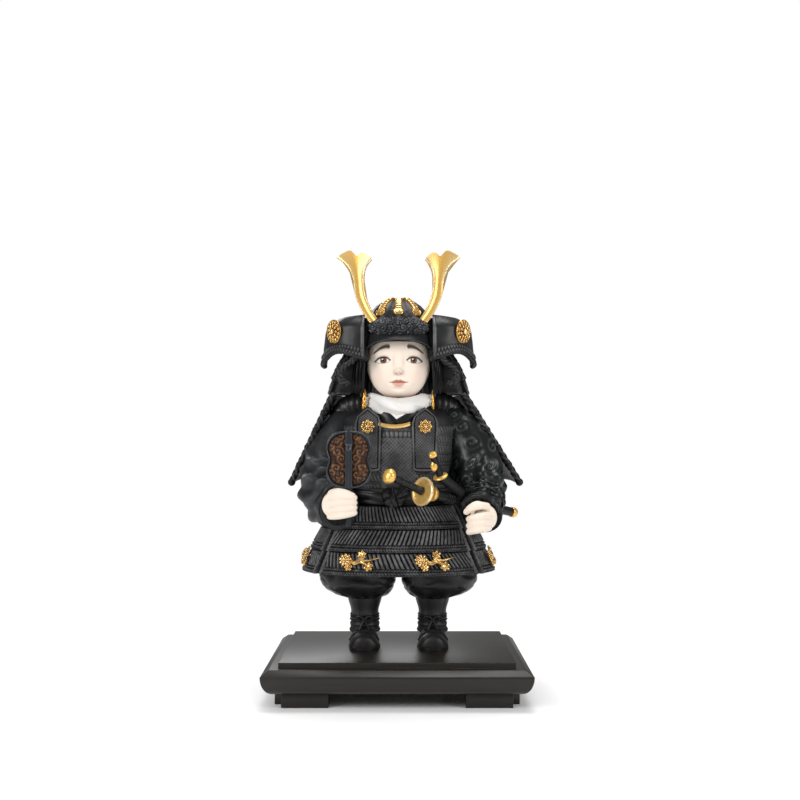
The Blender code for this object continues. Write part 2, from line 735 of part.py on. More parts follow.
def make_ribbon(name, x, panel):
    """A gilt ribbon with a flower and three curled ends, lying on the lowest row."""
    discs = ((-0.36, 0.06, 0.15), (-0.24, -0.26, 0.105), (0.08, 0.3, 0.12), (0.28, -0.28, 0.125))
    ribbon = limb(name, spline(((-0.4 * RIBBON_WIDTH, 0, 0, 3, RIBBON_THICKNESS),
                                (-0.1 * RIBBON_WIDTH, 0, -1, 4.4, RIBBON_THICKNESS),
                                (0.12 * RIBBON_WIDTH, 0, 1, 3, RIBBON_THICKNESS),
                                (0.5 * RIBBON_WIDTH, 0, 3.4, 1.6, RIBBON_THICKNESS)), 1), 6, GILT)
    for a, b, size in discs:
        disc = flower("disc", 2 * size * RIBBON_WIDTH, RIBBON_THICKNESS / 2 + 1.2, 3, GILT, CURL)
        move(disc, a * RIBBON_WIDTH, 0, b * RIBBON_HEIGHT)
        combine(ribbon, disc, "UNION")
    angle = math.degrees(math.asin((x - FIGURE_X) / (SKIRT_HEM_WIDTH / 2)))
    height = 1 - RIBBON_RISE / SKIRT_LENGTH
    spot = skirt_point(angle, height, SKIRT_STEP * 0.6 + 1.0)
    move(ribbon, spot.x, spot.y, spot.z, turn_x=-12, turn_z=angle * 0.62)
    return seat(ribbon, panel)


def make_scarf(head, torso):
    """The white neck scarf, a thick folded roll under the chin."""
    bm = bmesh.new()
    sides = 6
    tall = SCARF_HEIGHT
    low = NECK - tall * 0.62

    def place(u, v):
        turn = 2 * math.pi * u
        roll = 2 * math.pi * v
        front = 0.5 + 0.5 * math.cos(turn)
        crease = 0.5 * math.cos(SCARF_FOLDS * roll + 2 * turn)
        out = 6.5 + 5.5 * math.cos(roll) + crease
        rise = (tall / 2) * math.sin(roll) * (0.9 + 0.1 * front)
        return Vector((FIGURE_X + (SCARF_WIDTH / 2 - 12 + out) * math.sin(turn),
                       HEAD_Y + 3 - (SCARF_DEPTH / 2 - 12 + out) * math.cos(turn),
                       low + tall / 2 + rise - 1.5 * front))

    surface(bm, 14, sides, place)
    scarf = finished(bm, "scarf", LINEN)
    return seat(scarf, head, torso)


def face_relief(x, z):
    """How far the face stands forward at a place, from a few soft bumps."""
    bumps = ((0.0, 25.5, 3.4, 5.5, 3.0), (0.0, 23.2, 2.6, 2.2, 1.8), (-3.6, 23.4, 1.8, 1.6, 0.9),
             (3.6, 23.4, 1.8, 1.6, 0.9), (0.0, 16.8, 5.2, 1.3, 1.1), (0.0, 13.4, 4.4, 1.5, 1.3),
             (-14.2, 36.5, 6.5, 3.6, -1.1), (14.2, 36.5, 6.5, 3.6, -1.1), (-17, 20, 8, 8, 1.6),
             (17, 20, 8, 8, 1.6), (0.0, 5.5, 7.5, 4.5, 1.8), (0.0, 9.7, 4.5, 1.6, -0.6))
    return sum(high * math.exp(-((x - cx) / sx) ** 2 - ((z - cz) / sz) ** 2)
               for cx, cz, sx, sz, high in bumps)


def make_head():
    """The porcelain head: a full-cheeked egg with nose, lips, chin and eye sockets."""
    # Share of the height, of the width and of the depth, and how far the ring stands forward
    lower = spline(((0.0, 0.16, 0.2, 0.07), (0.03, 0.46, 0.44, 0.07), (0.1, 0.74, 0.66, 0.05),
                    (0.22, 0.93, 0.86, 0.02), (0.36, 1.0, 0.97, 0.0), (0.55, 0.99, 1.0, 0.0)), 2)
    shape = lower + [(0.72, 0.92, 0.95, 0.0), (0.86, 0.72, 0.76, 0.0), (0.96, 0.4, 0.43, 0.0)]
    bm = bmesh.new()
    last = len(shape) - 1

    def place(u, v):
        share, width, depth, forward = shape[round(v * last)]
        turn = 2 * math.pi * u
        turn -= 0.32 * math.sin(turn)
        x = HEAD_WIDTH / 2 * width * math.sin(turn)
        lift = face_relief(x, HEAD_HEIGHT * share) if math.cos(turn) > 0 else 0.0
        y = HEAD_Y - HEAD_DEPTH * forward - (HEAD_DEPTH / 2 * depth) * math.cos(turn) - lift
        return Vector((FIGURE_X + x, y, CHIN + HEAD_HEIGHT * share))

    surface(bm, 20, last, place)
    cap_ends(bm)
    return finished(bm, "head", SKIN)


def helmet_point(angle, rise, out=0.0):
    """A point of the helmet's dome: its angle from the front and its share of the height."""
    bulge = max(0.0, 1 - rise ** 2.3) ** 0.5
    turn = math.radians(angle)
    return Vector((FIGURE_X + (HELMET_WIDTH / 2 * bulge + out * bulge) * math.sin(turn),
                   HELMET_Y - (HELMET_DEPTH / 2 * bulge + out * bulge) * math.cos(turn),
                   HELMET_RIM + HELMET_HEIGHT * rise + out * rise))


def make_helmet(head):
    """The bowl with its ridges, the padded front, the visor and three gilt straps."""
    bm = bmesh.new()
    levels = (0.0, 0.25, 0.5, 0.7, 0.85, 0.94, 0.985)
    last = len(levels) - 1

    def bowl_place(u, v):
        rise = levels[round(v * last)]
        return helmet_point(360 * u, rise, 0.45 * math.cos(8 * 2 * math.pi * u) if 0 < rise < 0.97 else 0.0)

    surface(bm, 16, last, bowl_place)
    cap_ends(bm)
    bowl = seat(finished(bm, "helmet_bowl", ARMOUR), head)
    pad_rows = []
    for step in range(7):
        turn = math.pi * (step + 0.25) / 6.5 - math.pi / 2
        pad_rows.append((HELMET_RIM + PAD_RISE * 0.75 + PAD_HEIGHT / 2 * math.sin(turn),
                         PAD_WIDTH * math.cos(turn) ** 0.7, PAD_WIDTH * 0.68 * math.cos(turn) ** 0.7,
                         FIGURE_X, HELMET_Y - PAD_FORWARD))
    pad = stack("helmet_pad", pad_rows, 16, HAIR)
    seat(pad, bowl, head)

    def visor_face(stand_off):
        def place(u, v):
            angle = VISOR_ARC * (u - 0.5)
            side = abs(2 * u - 1)
            start = helmet_point(angle, 0.13, stand_off)
            reach = VISOR_REACH * v * (1 - 0.75 * side ** 2)
            turn = math.radians(angle)
            return start + Vector((0.4 * reach * math.sin(turn), -reach * math.cos(turn),
                                   -(VISOR_DROP + 6.0 * side ** 2) * v * 0.9))
        return place

    visor = shell("helmet_visor", 12, 2, visor_face(VISOR_THICKNESS - 1), visor_face(-1.0), ARMOUR, 2)
    seat(visor, pad, bowl)
    straps = []
    for label, angle in (("left", -STRAP_SPREAD), ("middle", 0.0), ("right", STRAP_SPREAD)):
        def strap_face(stand_off, angle=angle):
            def place(u, v):
                rise = STRAP_TOP + (STRAP_FOOT - STRAP_TOP) * v
                width = STRAP_WIDTH * (0.62 + 0.25 * v if v < 0.7 else 1.35 - 1.2 * (v - 0.7) / 0.3)
                across = Vector((math.cos(math.radians(angle)), math.sin(math.radians(angle)), 0))
                return helmet_point(angle, rise, stand_off) + across * width * (u - 0.5)
            return place

        strap = shell("helmet_strap_" + label, 2, 5, strap_face(STRAP_THICKNESS), strap_face(-2.0), GILT, 5)
        straps.append(seat(strap, bowl, pad))
    return bowl, pad, visor, straps


def make_horn(side, label, carriers):
    """A gilt horn: a curved stem that opens into a fish tail, dished inside a raised rim."""
    # Points are shares of the reach and of the height, from the foot round the outer side
    outer = spline(((0.43, 0.0), (0.56, 0.16), (0.68, 0.38), (0.73, 0.62), (0.83, 0.79), (1.0, 0.905)), 2)
    crest = ((0.9, 0.965), (0.79, 1.0), (0.675, 0.935), (0.6, 0.965), (0.5, 0.945))
    inner = spline(((0.425, 0.87), (0.5, 0.76), (0.525, 0.62), (0.49, 0.4), (0.4, 0.2), (0.3, 0.1)), 2)
    points = outer + list(crest) + inner
    outline = [(side * a * HORN_REACH, b * HORN_HEIGHT) for a, b in points]
    horn = plate("horn_" + label, outline, HORN_THICKNESS, GILT, rim=HORN_RIM, dish=HORN_DISH)
    base = CHIN + HELMET_RIM_RISE + PAD_RISE + 0.5 * GAP
    move(horn, FIGURE_X, HELMET_Y - PAD_FORWARD - 7, base, turn_x=-HORN_LEAN, turn_z=side * 12)
    return seat(horn, *carriers)


def make_neck_guard(carriers):
    """The flared neck guard of overlapping laced rows round the back and sides."""
    arc = NECK_GUARD_ARC
    levels = []
    for row in range(NECK_GUARD_ROWS):
        top = row / NECK_GUARD_ROWS
        levels += [(top, 0.0, 0.0), (top + 0.9 / NECK_GUARD_ROWS, 1.0, 1.0)]
    levels.append((1.0, 0.4, 0.0))
    last = len(levels) - 1
    columns = 14

    def point(u, height, out):
        angle = math.radians(180 + arc * (u - 0.5))
        flare = height ** 0.8
        wide = NECK_GUARD_TOP_WIDTH + (NECK_GUARD_WIDTH - NECK_GUARD_TOP_WIDTH) * flare
        deep = NECK_GUARD_TOP_WIDTH + (NECK_GUARD_DEPTH - NECK_GUARD_TOP_WIDTH) * flare
        return Vector((FIGURE_X + (wide / 2 + out) * math.sin(angle),
                       HELMET_Y + 3 - (deep / 2 + out) * math.cos(angle),
                       HELMET_RIM + 5 - NECK_GUARD_DROP * height))

    def outer(u, v):
        height, step, lace = levels[round(v * last)]
        return point(u, height, 2.0 * step + 0.8 * lace * (round(u * columns) % 2))

    def inner(u, v):
        return point(u, v, -NECK_GUARD_THICKNESS)

    guard = shell("neck_guard", columns, last, outer, inner, ARMOUR, 2)
    return seat(guard, *carriers)


def turnback_point(side, angle, share, out=0.0):
    """A point of a turned-back wing: its angle round the curl and its share down the height."""
    pull = 1 - 0.3 * max(0.0, 0.35 - share) ** 2 / 0.1225
    flare = 0.92 + 0.1 * share
    turn = math.radians(angle)
    return Vector((mirrored(TURNBACK_X + (TURNBACK_WIDTH * pull * flare + out) * math.sin(turn), side),
                   -4.0 - (TURNBACK_DEPTH * pull * flare + out) * math.cos(turn),
                   HELMET_RIM + 44 + TURNBACK_RISE - TURNBACK_HEIGHT * share - 2.5 * math.sin(turn)))


def make_turnback(side, label, carriers):
    """A turned-back wing of the neck guard beside the face, with a laced lower rim."""
    levels = (0.0, 0.2, 0.5, 0.87, 1.0)
    last = len(levels) - 1
    columns = 10

    def outer(u, v):
        share = levels[round(v * last)]
        bead = (0.9 + 0.7 * (round(u * columns) % 2)) if share > 0.86 else 0.0
        return turnback_point(side, -10 + 112 * u, share, bead)

    def inner(u, v):
        return turnback_point(side, -10 + 112 * u, v, -TURNBACK_THICKNESS)

    wing = shell("turnback_" + label, columns, last, outer, inner, ARMOUR, 2)
    seat(wing, *carriers)
    angle = 47
    spot = turnback_point(side, angle, 0.4, -0.8)
    rosette = flower("rosette_" + label, ROSETTE_DIAMETER, ROSETTE_THICKNESS, ROSETTE_PETALS, GILT)
    move(rosette, spot.x, spot.y, spot.z, turn_z=side * angle)
    return wing, seat(rosette, wing)


def make_hair(carriers):
    """The dark hair behind and beside the face, combed down to the collar."""
    rows = []
    for step in range(3):
        share = step / 2
        rows.append((HELMET_RIM - GAP - HAIR_LENGTH * (1 - share), HAIR_WIDTH * (1 - 0.14 * share),
                     HAIR_DEPTH * (1 - 0.12 * share), FIGURE_X, HAIR_Y))
    hair = stack("hair", rows, 12, HAIR)
    return seat(hair, *carriers)


def make_tassel(side, label, scale, carriers):
    """The gilt end of the chin cord hanging at the cheek."""
    x = mirrored(HEAD_WIDTH / 2 + 2.0, side)
    y = HEAD_Y - 12
    top = CHIN + 10
    fat = TASSEL_DIAMETER * scale
    rows = ((x, y, top, fat * 0.5, fat * 0.5), (x, y - 1, top - TASSEL_LENGTH * 0.25, fat, fat),
            (x, y - 2, top - TASSEL_LENGTH * 0.5, fat * 0.7, fat * 0.7),
            (x, y - 3, top - TASSEL_LENGTH * 0.75, fat, fat),
            (x, y - 4, top - TASSEL_LENGTH, fat * 0.6, fat * 0.6))
    return seat(limb("chin_cord_" + label, rows, 8, GILT), *carriers)


def make_chest_board(side, label, torso, scarf):
    """A hanging board with a pointed top, a rounded foot and a raised rim, and its flower."""
    half = CHEST_BOARD_WIDTH / 2
    foot = -CHEST_BOARD_LENGTH
    outline = [(0, 0), (half * 0.8, -CHEST_BOARD_PEAK), (half, -CHEST_BOARD_PEAK - 7),
               (half * 0.86, foot + 6)]
    for step in range(1, 5):
        turn = math.pi * step / 5
        outline.append((half * 0.86 * math.cos(turn), foot + 4 - 4 * math.sin(turn)))
    outline += [(-half * 0.86, foot + 6), (-half, -CHEST_BOARD_PEAK - 7), (-half * 0.8, -CHEST_BOARD_PEAK)]
    board = plate("chest_board_" + label, outline, CHEST_BOARD_THICKNESS + 14, ARMOUR,
                  rim=CHEST_BOARD_RIM, dish=0.9)
    x = mirrored(CHEST_BOARD_X, side)
    front = CHEST_DEPTH / 2 + 1.0
    move(board, x, 14 - front + CHEST_BOARD_THICKNESS - 1.5, NECK - CHEST_BOARD_DROP, turn_z=side * 10,
         turn_x=3)
    seat(board, torso, scarf)
    petals = flower("chest_flower_" + label, FLOWER_DIAMETER, FLOWER_THICKNESS + 2, FLOWER_PETALS, GILT)
    move(petals, x + side * 0.5, -front + 1.2, NECK - CHEST_BOARD_DROP - FLOWER_DROP,
         turn_z=side * 10, turn_x=3)
    return board, seat(petals, board)


def make_neck_band(torso, boards):
    """The gilt band across the top of the breast, between the two hanging boards."""
    height = WAIST + BAND_RISE

    def face(stand_off):
        def place(u, v):
            turn = math.radians(34 * (2 * u - 1))
            sag = 1.6 * (1 - (2 * u - 1) ** 2)
            return Vector((FIGURE_X + (CHEST_WIDTH / 2 + stand_off) * math.sin(turn),
                           -1 - (CHEST_DEPTH / 2 + stand_off) * math.cos(turn),
                           height - sag - BAND_WIDTH * v))
        return place

    band = shell("neck_band", 10, 1, face(1.6), face(-6.0), GILT)
    return seat(band, torso, *boards)


def sleeve_rows(side):
    """The sleeve's path from the shoulder to the cuff, wider at the elbow."""
    # Along the arm: shares of its length outwards, back and up, then of the sleeve's diameter
    if side < 0:
        shares = ((0.0, 0.04, 0.04, 0.7, 0.72), (0.14, 0.02, -0.06, 0.96, 0.92),
                  (0.26, -0.03, -0.3, 1.02, 1.04), (0.31, -0.11, -0.56, 1.04, 1.2),
                  (0.26, -0.27, -0.76, 1.0, 1.2), (0.17, -0.45, -0.86, 0.86, 1.0),
                  (0.12, -0.57, -0.89, 0.8, 0.86))
    else:
        shares = ((0.0, 0.04, 0.04, 0.7, 0.72), (0.14, 0.02, -0.05, 0.94, 0.92),
                  (0.29, -0.03, -0.26, 0.98, 1.0), (0.37, -0.1, -0.52, 0.94, 1.04),
                  (0.38, -0.22, -0.75, 0.82, 0.98), (0.37, -0.36, -0.89, 0.74, 0.86),
                  (0.35, -0.45, -0.95, 0.84, 0.88))
    rows = [(mirrored(SHOULDER_X + ARM_LENGTH * out, side), ARM_LENGTH * back, SHOULDER + ARM_LENGTH * up,
             SLEEVE_DIAMETER * wide, SLEEVE_DIAMETER * tall) for out, back, up, wide, tall in shares]
    return spline(rows, 2)


def make_sleeve(side, label, carriers):
    """A quilted sleeve with folds at the elbow and an open cuff."""
    phase = 1.5 if side < 0 else 0.4

    def folds(turn, v):
        slack = math.exp(-((v - 0.62) / 0.2) ** 2)
        return SLEEVE_FOLD_DEPTH * slack * math.cos(SLEEVE_FOLDS * turn + 14 * v + phase)

    look = CLOTH_GREY if side < 0 else CLOTH_BLACK
    sleeve = limb("sleeve_" + label, sleeve_rows(side), 10, look, folds, (CUFF_WALL, CUFF_RECESS))
    return seat(sleeve, *carriers)


def make_shoulder_guard(side, label, carriers):
    """A large laced board that hangs behind the arm from the shoulder."""
    rows = SHOULDER_GUARD_ROWS
    fall = SHOULDER_GUARD_LENGTH
    spread = GUARD_SPREAD[label]
    top_z = NECK + SHOULDER_GUARD_RISE
    levels = []
    for row in range(rows):
        top = row / rows
        levels += [(top, 0.0), (top + 0.88 / rows, 1.0)]
    levels.append((1.0, 0.5))
    last = len(levels) - 1
    columns = 6
    front, back = SHOULDER_GUARD_FRONT_Y, SHOULDER_GUARD_BACK_Y
    front_top = Vector((mirrored(SHOULDER_GUARD_OUT, side), front, top_z))
    back_top = Vector((mirrored(SHOULDER_GUARD_IN, side), back, top_z - 2))
    front_low = Vector((mirrored(SHOULDER_GUARD_OUT + spread, side), front - 2, top_z - fall))
    back_low = Vector((mirrored(SHOULDER_GUARD_OUT + spread / 2, side), back + SHOULDER_GUARD_FLARE,
                       top_z - fall + 4))
    outward = Vector((side * 0.8, 0.5, 0.25))

    def point(u, share, out):
        near = front_top.lerp(front_low, share)
        far = back_top.lerp(back_low, share)
        return near.lerp(far, u) + outward * (SHOULDER_GUARD_BULGE * math.sin(math.pi * u) + out)

    def outer(u, v):
        share, step = levels[round(v * last)]
        return point(u, share, 1.6 * step + 0.8 * (round(u * columns) % 2) * step)

    def inner(u, v):
        return point(u, v, -SHOULDER_GUARD_THICKNESS)

    board = shell("shoulder_guard_" + label, columns, last, outer, inner, ARMOUR)
    return seat(board, *carriers)


def make_fan():
    """The war fan: a waisted frame, two carved panels in one, a rib and a handle."""
    middle = WAIST + FAN_RISE
    outer = []
    steps = 24
    square = FAN_SQUARENESS
    for step in range(steps):
        turn = 2 * math.pi * step / steps
        lean = 1 - FAN_WAIST * math.exp(-(math.cos(turn) / 0.3) ** 2)
        power = (abs(math.sin(turn)) ** square + abs(math.cos(turn)) ** square) ** (-1 / square)
        outer.append((math.sin(turn) * power * lean, math.cos(turn) * power))
    frame = plate("fan_frame", [(a * FAN_WIDTH / 2, b * FAN_HEIGHT / 2) for a, b in outer],
                  FAN_THICKNESS, STEEL)
    inner_x = FAN_WIDTH / 2 - FAN_FRAME
    inner_z = FAN_HEIGHT / 2 - FAN_FRAME
    panel = plate("fan_panel", [(a * inner_x, b * inner_z) for a, b in outer],
                  FAN_THICKNESS - 1.2, LACQUER, rim=2.0, dish=-0.5)
    move(panel, 0, -0.6, 0)
    cutter = plate("cutter", [(a * (inner_x + GAP), b * (inner_z + GAP)) for a, b in outer],
                   FAN_THICKNESS + 4, STEEL)
    move(cutter, 0, 2, 0)
    combine(frame, cutter, "DIFFERENCE")
    stem_top = FAN_HEIGHT / 2 - FAN_FRAME - 1
    low, thick = -FAN_HEIGHT / 2, FAN_HANDLE_DIAMETER
    handle = limb("fan_handle", ((0, 0, low - FAN_HANDLE_LENGTH, thick, thick),
                                 (0, 0, low - 4, thick, thick),
                                 (0, 0, low - GAP, FAN_RIB_WIDTH * 1.6, thick)), 8, STEEL)
    rib = plate("fan_rib", ((-FAN_RIB_WIDTH / 2, -stem_top), (FAN_RIB_WIDTH / 2, -stem_top),
                            (FAN_RIB_WIDTH / 2, stem_top), (0, stem_top + FAN_FRAME + 5),
                            (-FAN_RIB_WIDTH / 2, stem_top)), FAN_RIB_THICKNESS, STEEL)
    move(rib, 0, -FAN_THICKNESS - 0.5 - GAP, 0)
    for piece in (frame, panel, rib):
        move(piece, FAN_X, -FAN_FORWARD, middle)
    move(handle, FAN_X, -FAN_FORWARD - FAN_THICKNESS / 2, middle)
    return frame, panel, rib, handle


def ball(name, x, y, z, width, depth, height, sides, look):
    """A rounded block: an ellipsoid of level rings."""
    rows = []
    for step in range(6):
        turn = math.pi * (step + 0.3) / 5.6 - math.pi / 2
        rows.append((z + height / 2 * math.sin(turn), width * math.cos(turn), depth * math.cos(turn), x, y))
    return stack(name, rows, sides, look)


def make_hand(name, x, y, z, side, carriers):
    """A loosely closed fist: a palm, four fingers scalloped into one curl, a thumb and a wrist."""
    hand = ball(name, x, y, z, HAND_WIDTH * 1.05, HAND_WIDTH * 0.84, HAND_WIDTH * 1.1, 10, SKIN)
    tall = FINGER_DIAMETER * 3.7

    def at(out, forward, up):
        return (x + side * HAND_WIDTH * out, y - HAND_WIDTH * forward, z + HAND_WIDTH * up)

    # The curl of the fingers, in shares of the hand's width
    rows = [at(-0.3, 0.22, -0.04), at(-0.04, 0.425, -0.04), at(0.33, 0.425, -0.07), at(0.52, 0.26, -0.07)]
    sizes = ((FINGER_DIAMETER, tall), (FINGER_DIAMETER * 1.1, tall), (FINGER_DIAMETER, tall * 0.96),
             (FINGER_DIAMETER * 0.5, tall * 0.8))
    bm = bmesh.new()
    last = len(rows) - 1

    def place(u, v):
        index = round(v * last)
        middle = Vector(rows[index])
        ahead = Vector(rows[min(index + 1, last)]) - Vector(rows[max(index - 1, 0)])
        across = Vector((-ahead.y, ahead.x, 0)).normalized()
        deep, high = sizes[index]
        turn = 2 * math.pi * u
        groove = 1 + 0.1 * math.cos(6 * turn)
        return (middle + across * deep / 2 * groove * math.cos(turn)
                + Vector((0, 0, high / 2 * groove * math.sin(turn))))

    surface(bm, 12, last, place)
    cap_ends(bm)
    combine(hand, finished(bm, "fingers", SKIN), "UNION")
    thumb = limb("thumb", ((*at(-0.15, 0.0, 0.33), THUMB_DIAMETER, THUMB_DIAMETER),
                           (*at(0.19, 0.15, 0.48), THUMB_DIAMETER, THUMB_DIAMETER),
                           (*at(0.48, 0.22, 0.46), THUMB_DIAMETER / 2, THUMB_DIAMETER / 2)), 6, SKIN)
    combine(hand, thumb, "UNION")
    wrist = limb("wrist", ((*at(-0.07, -0.85, 0.15), WRIST_DIAMETER * 0.95, WRIST_DIAMETER),
                           (*at(-0.04, -0.15, 0.0), WRIST_DIAMETER, WRIST_DIAMETER)), 8, SKIN)
    combine(hand, wrist, "UNION")
    return seat(hand, *carriers)


def along(start, heading, rows, name, sides, look):
    """A turned piece on a line: each row holds a distance, a width and a height."""
    return limb(name, [(*(start + heading * far), wide, tall) for far, wide, tall in rows], sides, look)


def make_long_sword():
    """The long sword: pommel, hilt, round guard, collar, scabbard and its gilt tip."""
    guard_at = Vector((LONG_SWORD_X, -HIP_DEPTH / 2 - LONG_SWORD_FORWARD, WAIST + LONG_SWORD_RISE))
    back = Vector(LONG_HILT_HEADING).normalized()
    ahead = Vector(LONG_SCABBARD_HEADING).normalized()
    radius = GUARD_THICKNESS / 2
    hilt = along(guard_at, back, ((radius + GAP, HILT_DIAMETER, HILT_DIAMETER * 1.15),
                                  (HILT_LENGTH * 0.5, HILT_DIAMETER * 0.9, HILT_DIAMETER),
                                  (HILT_LENGTH, HILT_DIAMETER * 0.95, HILT_DIAMETER * 1.1)),
                 "long_sword_hilt", 10, CLOTH_BLACK)
    far = HILT_LENGTH + GAP
    wide = POMMEL_DIAMETER
    pommel = along(guard_at, back, ((far, wide * 0.8, wide * 0.86), (far + POMMEL_LENGTH * 0.4, wide, wide),
                                    (far + POMMEL_LENGTH * 0.8, wide * 0.9, wide * 0.9),
                                    (far + POMMEL_LENGTH, wide * 0.45, wide * 0.45)),
                   "long_sword_pommel", 10, GILT)
    guard = along(guard_at, ahead, ((-radius, GUARD_DIAMETER * 0.94, GUARD_DIAMETER * 0.94),
                                    (-radius * 0.4, GUARD_DIAMETER, GUARD_DIAMETER),
                                    (radius * 0.4, GUARD_DIAMETER, GUARD_DIAMETER),
                                    (radius, GUARD_DIAMETER * 0.94, GUARD_DIAMETER * 0.94)),
                  "long_sword_guard", 18, GILT)
    far = radius + GAP
    ring = far + COLLAR_NECK
    collar = along(guard_at, ahead, ((far, COLLAR_DIAMETER * 0.8, COLLAR_DIAMETER * 0.8),
                                     (ring - 1, COLLAR_DIAMETER * 0.8, COLLAR_DIAMETER * 0.8),
                                     (ring, COLLAR_DIAMETER * 1.2, COLLAR_DIAMETER * 1.2),
                                     (ring + COLLAR_LENGTH, COLLAR_DIAMETER, COLLAR_DIAMETER)),
                   "long_sword_collar", 10, GILT)
    far = ring + COLLAR_LENGTH + GAP
    end = SCABBARD_LENGTH
    scabbard = along(guard_at, ahead, ((far, SCABBARD_DIAMETER, SCABBARD_DIAMETER * 1.1),
                                       (end * 0.6, SCABBARD_DIAMETER * 0.95, SCABBARD_DIAMETER),
                                       (end, SCABBARD_DIAMETER * 0.85, SCABBARD_DIAMETER * 0.9)),
                     "long_sword_scabbard", 12, LEATHER)
    tip = along(guard_at, ahead, ((end + GAP, SCABBARD_DIAMETER, SCABBARD_DIAMETER * 1.1),
                                  (end + TIP_LENGTH * 0.6, SCABBARD_DIAMETER, SCABBARD_DIAMETER),
                                  (end + TIP_LENGTH, SCABBARD_DIAMETER * 0.5, SCABBARD_DIAMETER * 0.5)),
                "long_sword_tip", 12, GILT)
    seat(hilt, guard)
    seat(pommel, hilt)
    return hilt, pommel, guard, collar, scabbard, tip


def make_short_sword(carriers):
    """The short sword thrust through the sash beside the long one."""
    start = Vector((SHORT_SWORD_X, -HIP_DEPTH / 2 - SHORT_SWORD_FORWARD, WAIST + SHORT_SWORD_RISE))
    back = Vector(SHORT_HILT_HEADING).normalized()
    ahead = Vector(SHORT_SCABBARD_HEADING).normalized()
    radius = SHORT_GUARD_THICKNESS / 2
    wide = SHORT_GUARD_DIAMETER
    guard = along(start, back, ((-radius, wide * 0.9, wide * 0.9), (0, wide, wide),
                                (radius, wide * 0.9, wide * 0.9)), "short_sword_guard", 14, GILT)
    wide = SHORT_HILT_DIAMETER
    end = SHORT_HILT_LENGTH - SHORT_POMMEL_LENGTH - 1
    hilt = along(start, back, ((radius + GAP, wide, wide),
                               (SHORT_HILT_LENGTH * 0.45, wide * 0.9, wide * 0.9),
                               (end, wide * 0.97, wide * 0.97)), "short_sword_hilt", 10, CLOTH_BLACK)
    wide = SHORT_POMMEL_DIAMETER
    far = end + GAP
    pommel = along(start, back, ((far, wide * 0.8, wide * 0.8),
                                 (far + SHORT_POMMEL_LENGTH / 2, wide, wide),
                                 (far + SHORT_POMMEL_LENGTH, wide * 0.6, wide * 0.6)),
                   "short_sword_pommel", 10, GILT)
    wide = SHORT_SCABBARD_DIAMETER
    scabbard = along(start, ahead, ((radius + 0.4, wide, wide),
                                    (SHORT_SCABBARD_LENGTH, wide * 0.95, wide * 0.95)),
                     "short_sword_scabbard", 10, LEATHER)
    seat(scabbard, guard, *carriers)
    return guard, hilt, pommel, scabbard


def build():
    """Makes every piece, each one seated on those made before it."""
    for piece in list(bpy.data.objects):
        bpy.data.objects.remove(piece)
    make_stand()
    boots = [add_shin(side, make_boot(side, label)) for side, label in SIDES]
    trousers = make_trousers(boots)
    torso = make_torso()
    sash, knot = make_sash(torso, trousers)
    waist = (trousers, torso, sash, knot)
    long_sword = make_long_sword()
    envelope = skirt_envelope()
    front = make_panel("skirt_front", 0.0, FRONT_PANEL_ARC, waist)
    step = (FRONT_PANEL_ARC + SIDE_PANEL_ARC) / 2 + PANEL_SPACE
    make_panel("skirt_right", step, SIDE_PANEL_ARC, waist)
    make_panel("skirt_left", -step, SIDE_PANEL_ARC, waist)
    back_arc = 360 - FRONT_PANEL_ARC - 2 * SIDE_PANEL_ARC - 4 * PANEL_SPACE
    make_panel("skirt_back", 180.0, back_arc, waist)
    make_ribbon("skirt_ribbon_left", mirrored(RIBBON_X + 4, -1), front)
    make_ribbon("skirt_ribbon_right", mirrored(RIBBON_X - 2, 1), front)

    head = make_head()
    scarf = make_scarf(head, torso)
    bowl, pad, visor, straps = make_helmet(head)
    horns = [make_horn(side, label, (pad, bowl, visor, *straps)) for side, label in SIDES]
    hair = make_hair((head, visor, scarf, torso))
    guard = make_neck_guard((bowl, hair))
    wings = []
    for (side, label), horn in zip(SIDES, horns):
        wings.append(make_turnback(side, label, (visor, pad, horn))[0])
    boards = [make_chest_board(-1, "left", torso, scarf)[0], make_chest_board(1, "right", torso, scarf)[0]]
    make_neck_band(torso, boards)
    make_tassel(-1, "left", 1.0, (head, hair, scarf, torso, boards[0]))
    make_tassel(1, "right", 0.6, (head, hair, scarf, torso, boards[1]))

    sleeves = []
    for side, label in ((-1, "left"), (1, "right")):
        carriers = (torso, trousers, guard, boards[len(sleeves)], sash, envelope, long_sword[4])
        sleeves.append(make_sleeve(side, label, carriers))
        make_shoulder_guard(side, label, (sleeves[-1], torso, guard, hair))
    frame, panel, rib, handle = make_fan()
    make_hand("hand_fan", FAN_X - FAN_HAND_OUT, -FAN_FORWARD + FAN_HAND_BEHIND, WAIST - 1, 1,
              (handle, sleeves[0], frame))
    make_hand("hand_free", mirrored(FREE_HAND_X, 1), FREE_HAND_Y, WAIST - FREE_HAND_DROP, -1, (sleeves[1],))
    make_short_sword((*waist, *long_sword, *boards))


build()
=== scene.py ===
# %% [markdown]
# # A samurai boy doll on its stand
# The figure is a cast display doll: charcoal armour with brushed ridges, polished gilt trim, a porcelain
# face and hands, and a black-brown wooden stand. The CAD model gives every place. This script dresses it
# piece by piece: each laced board, cloth and ornament is modelled again with its real surface.

# %% Load the frame
import math
import random

import bmesh
import bpy
from mathutils import Matrix, Vector, kdtree, noise


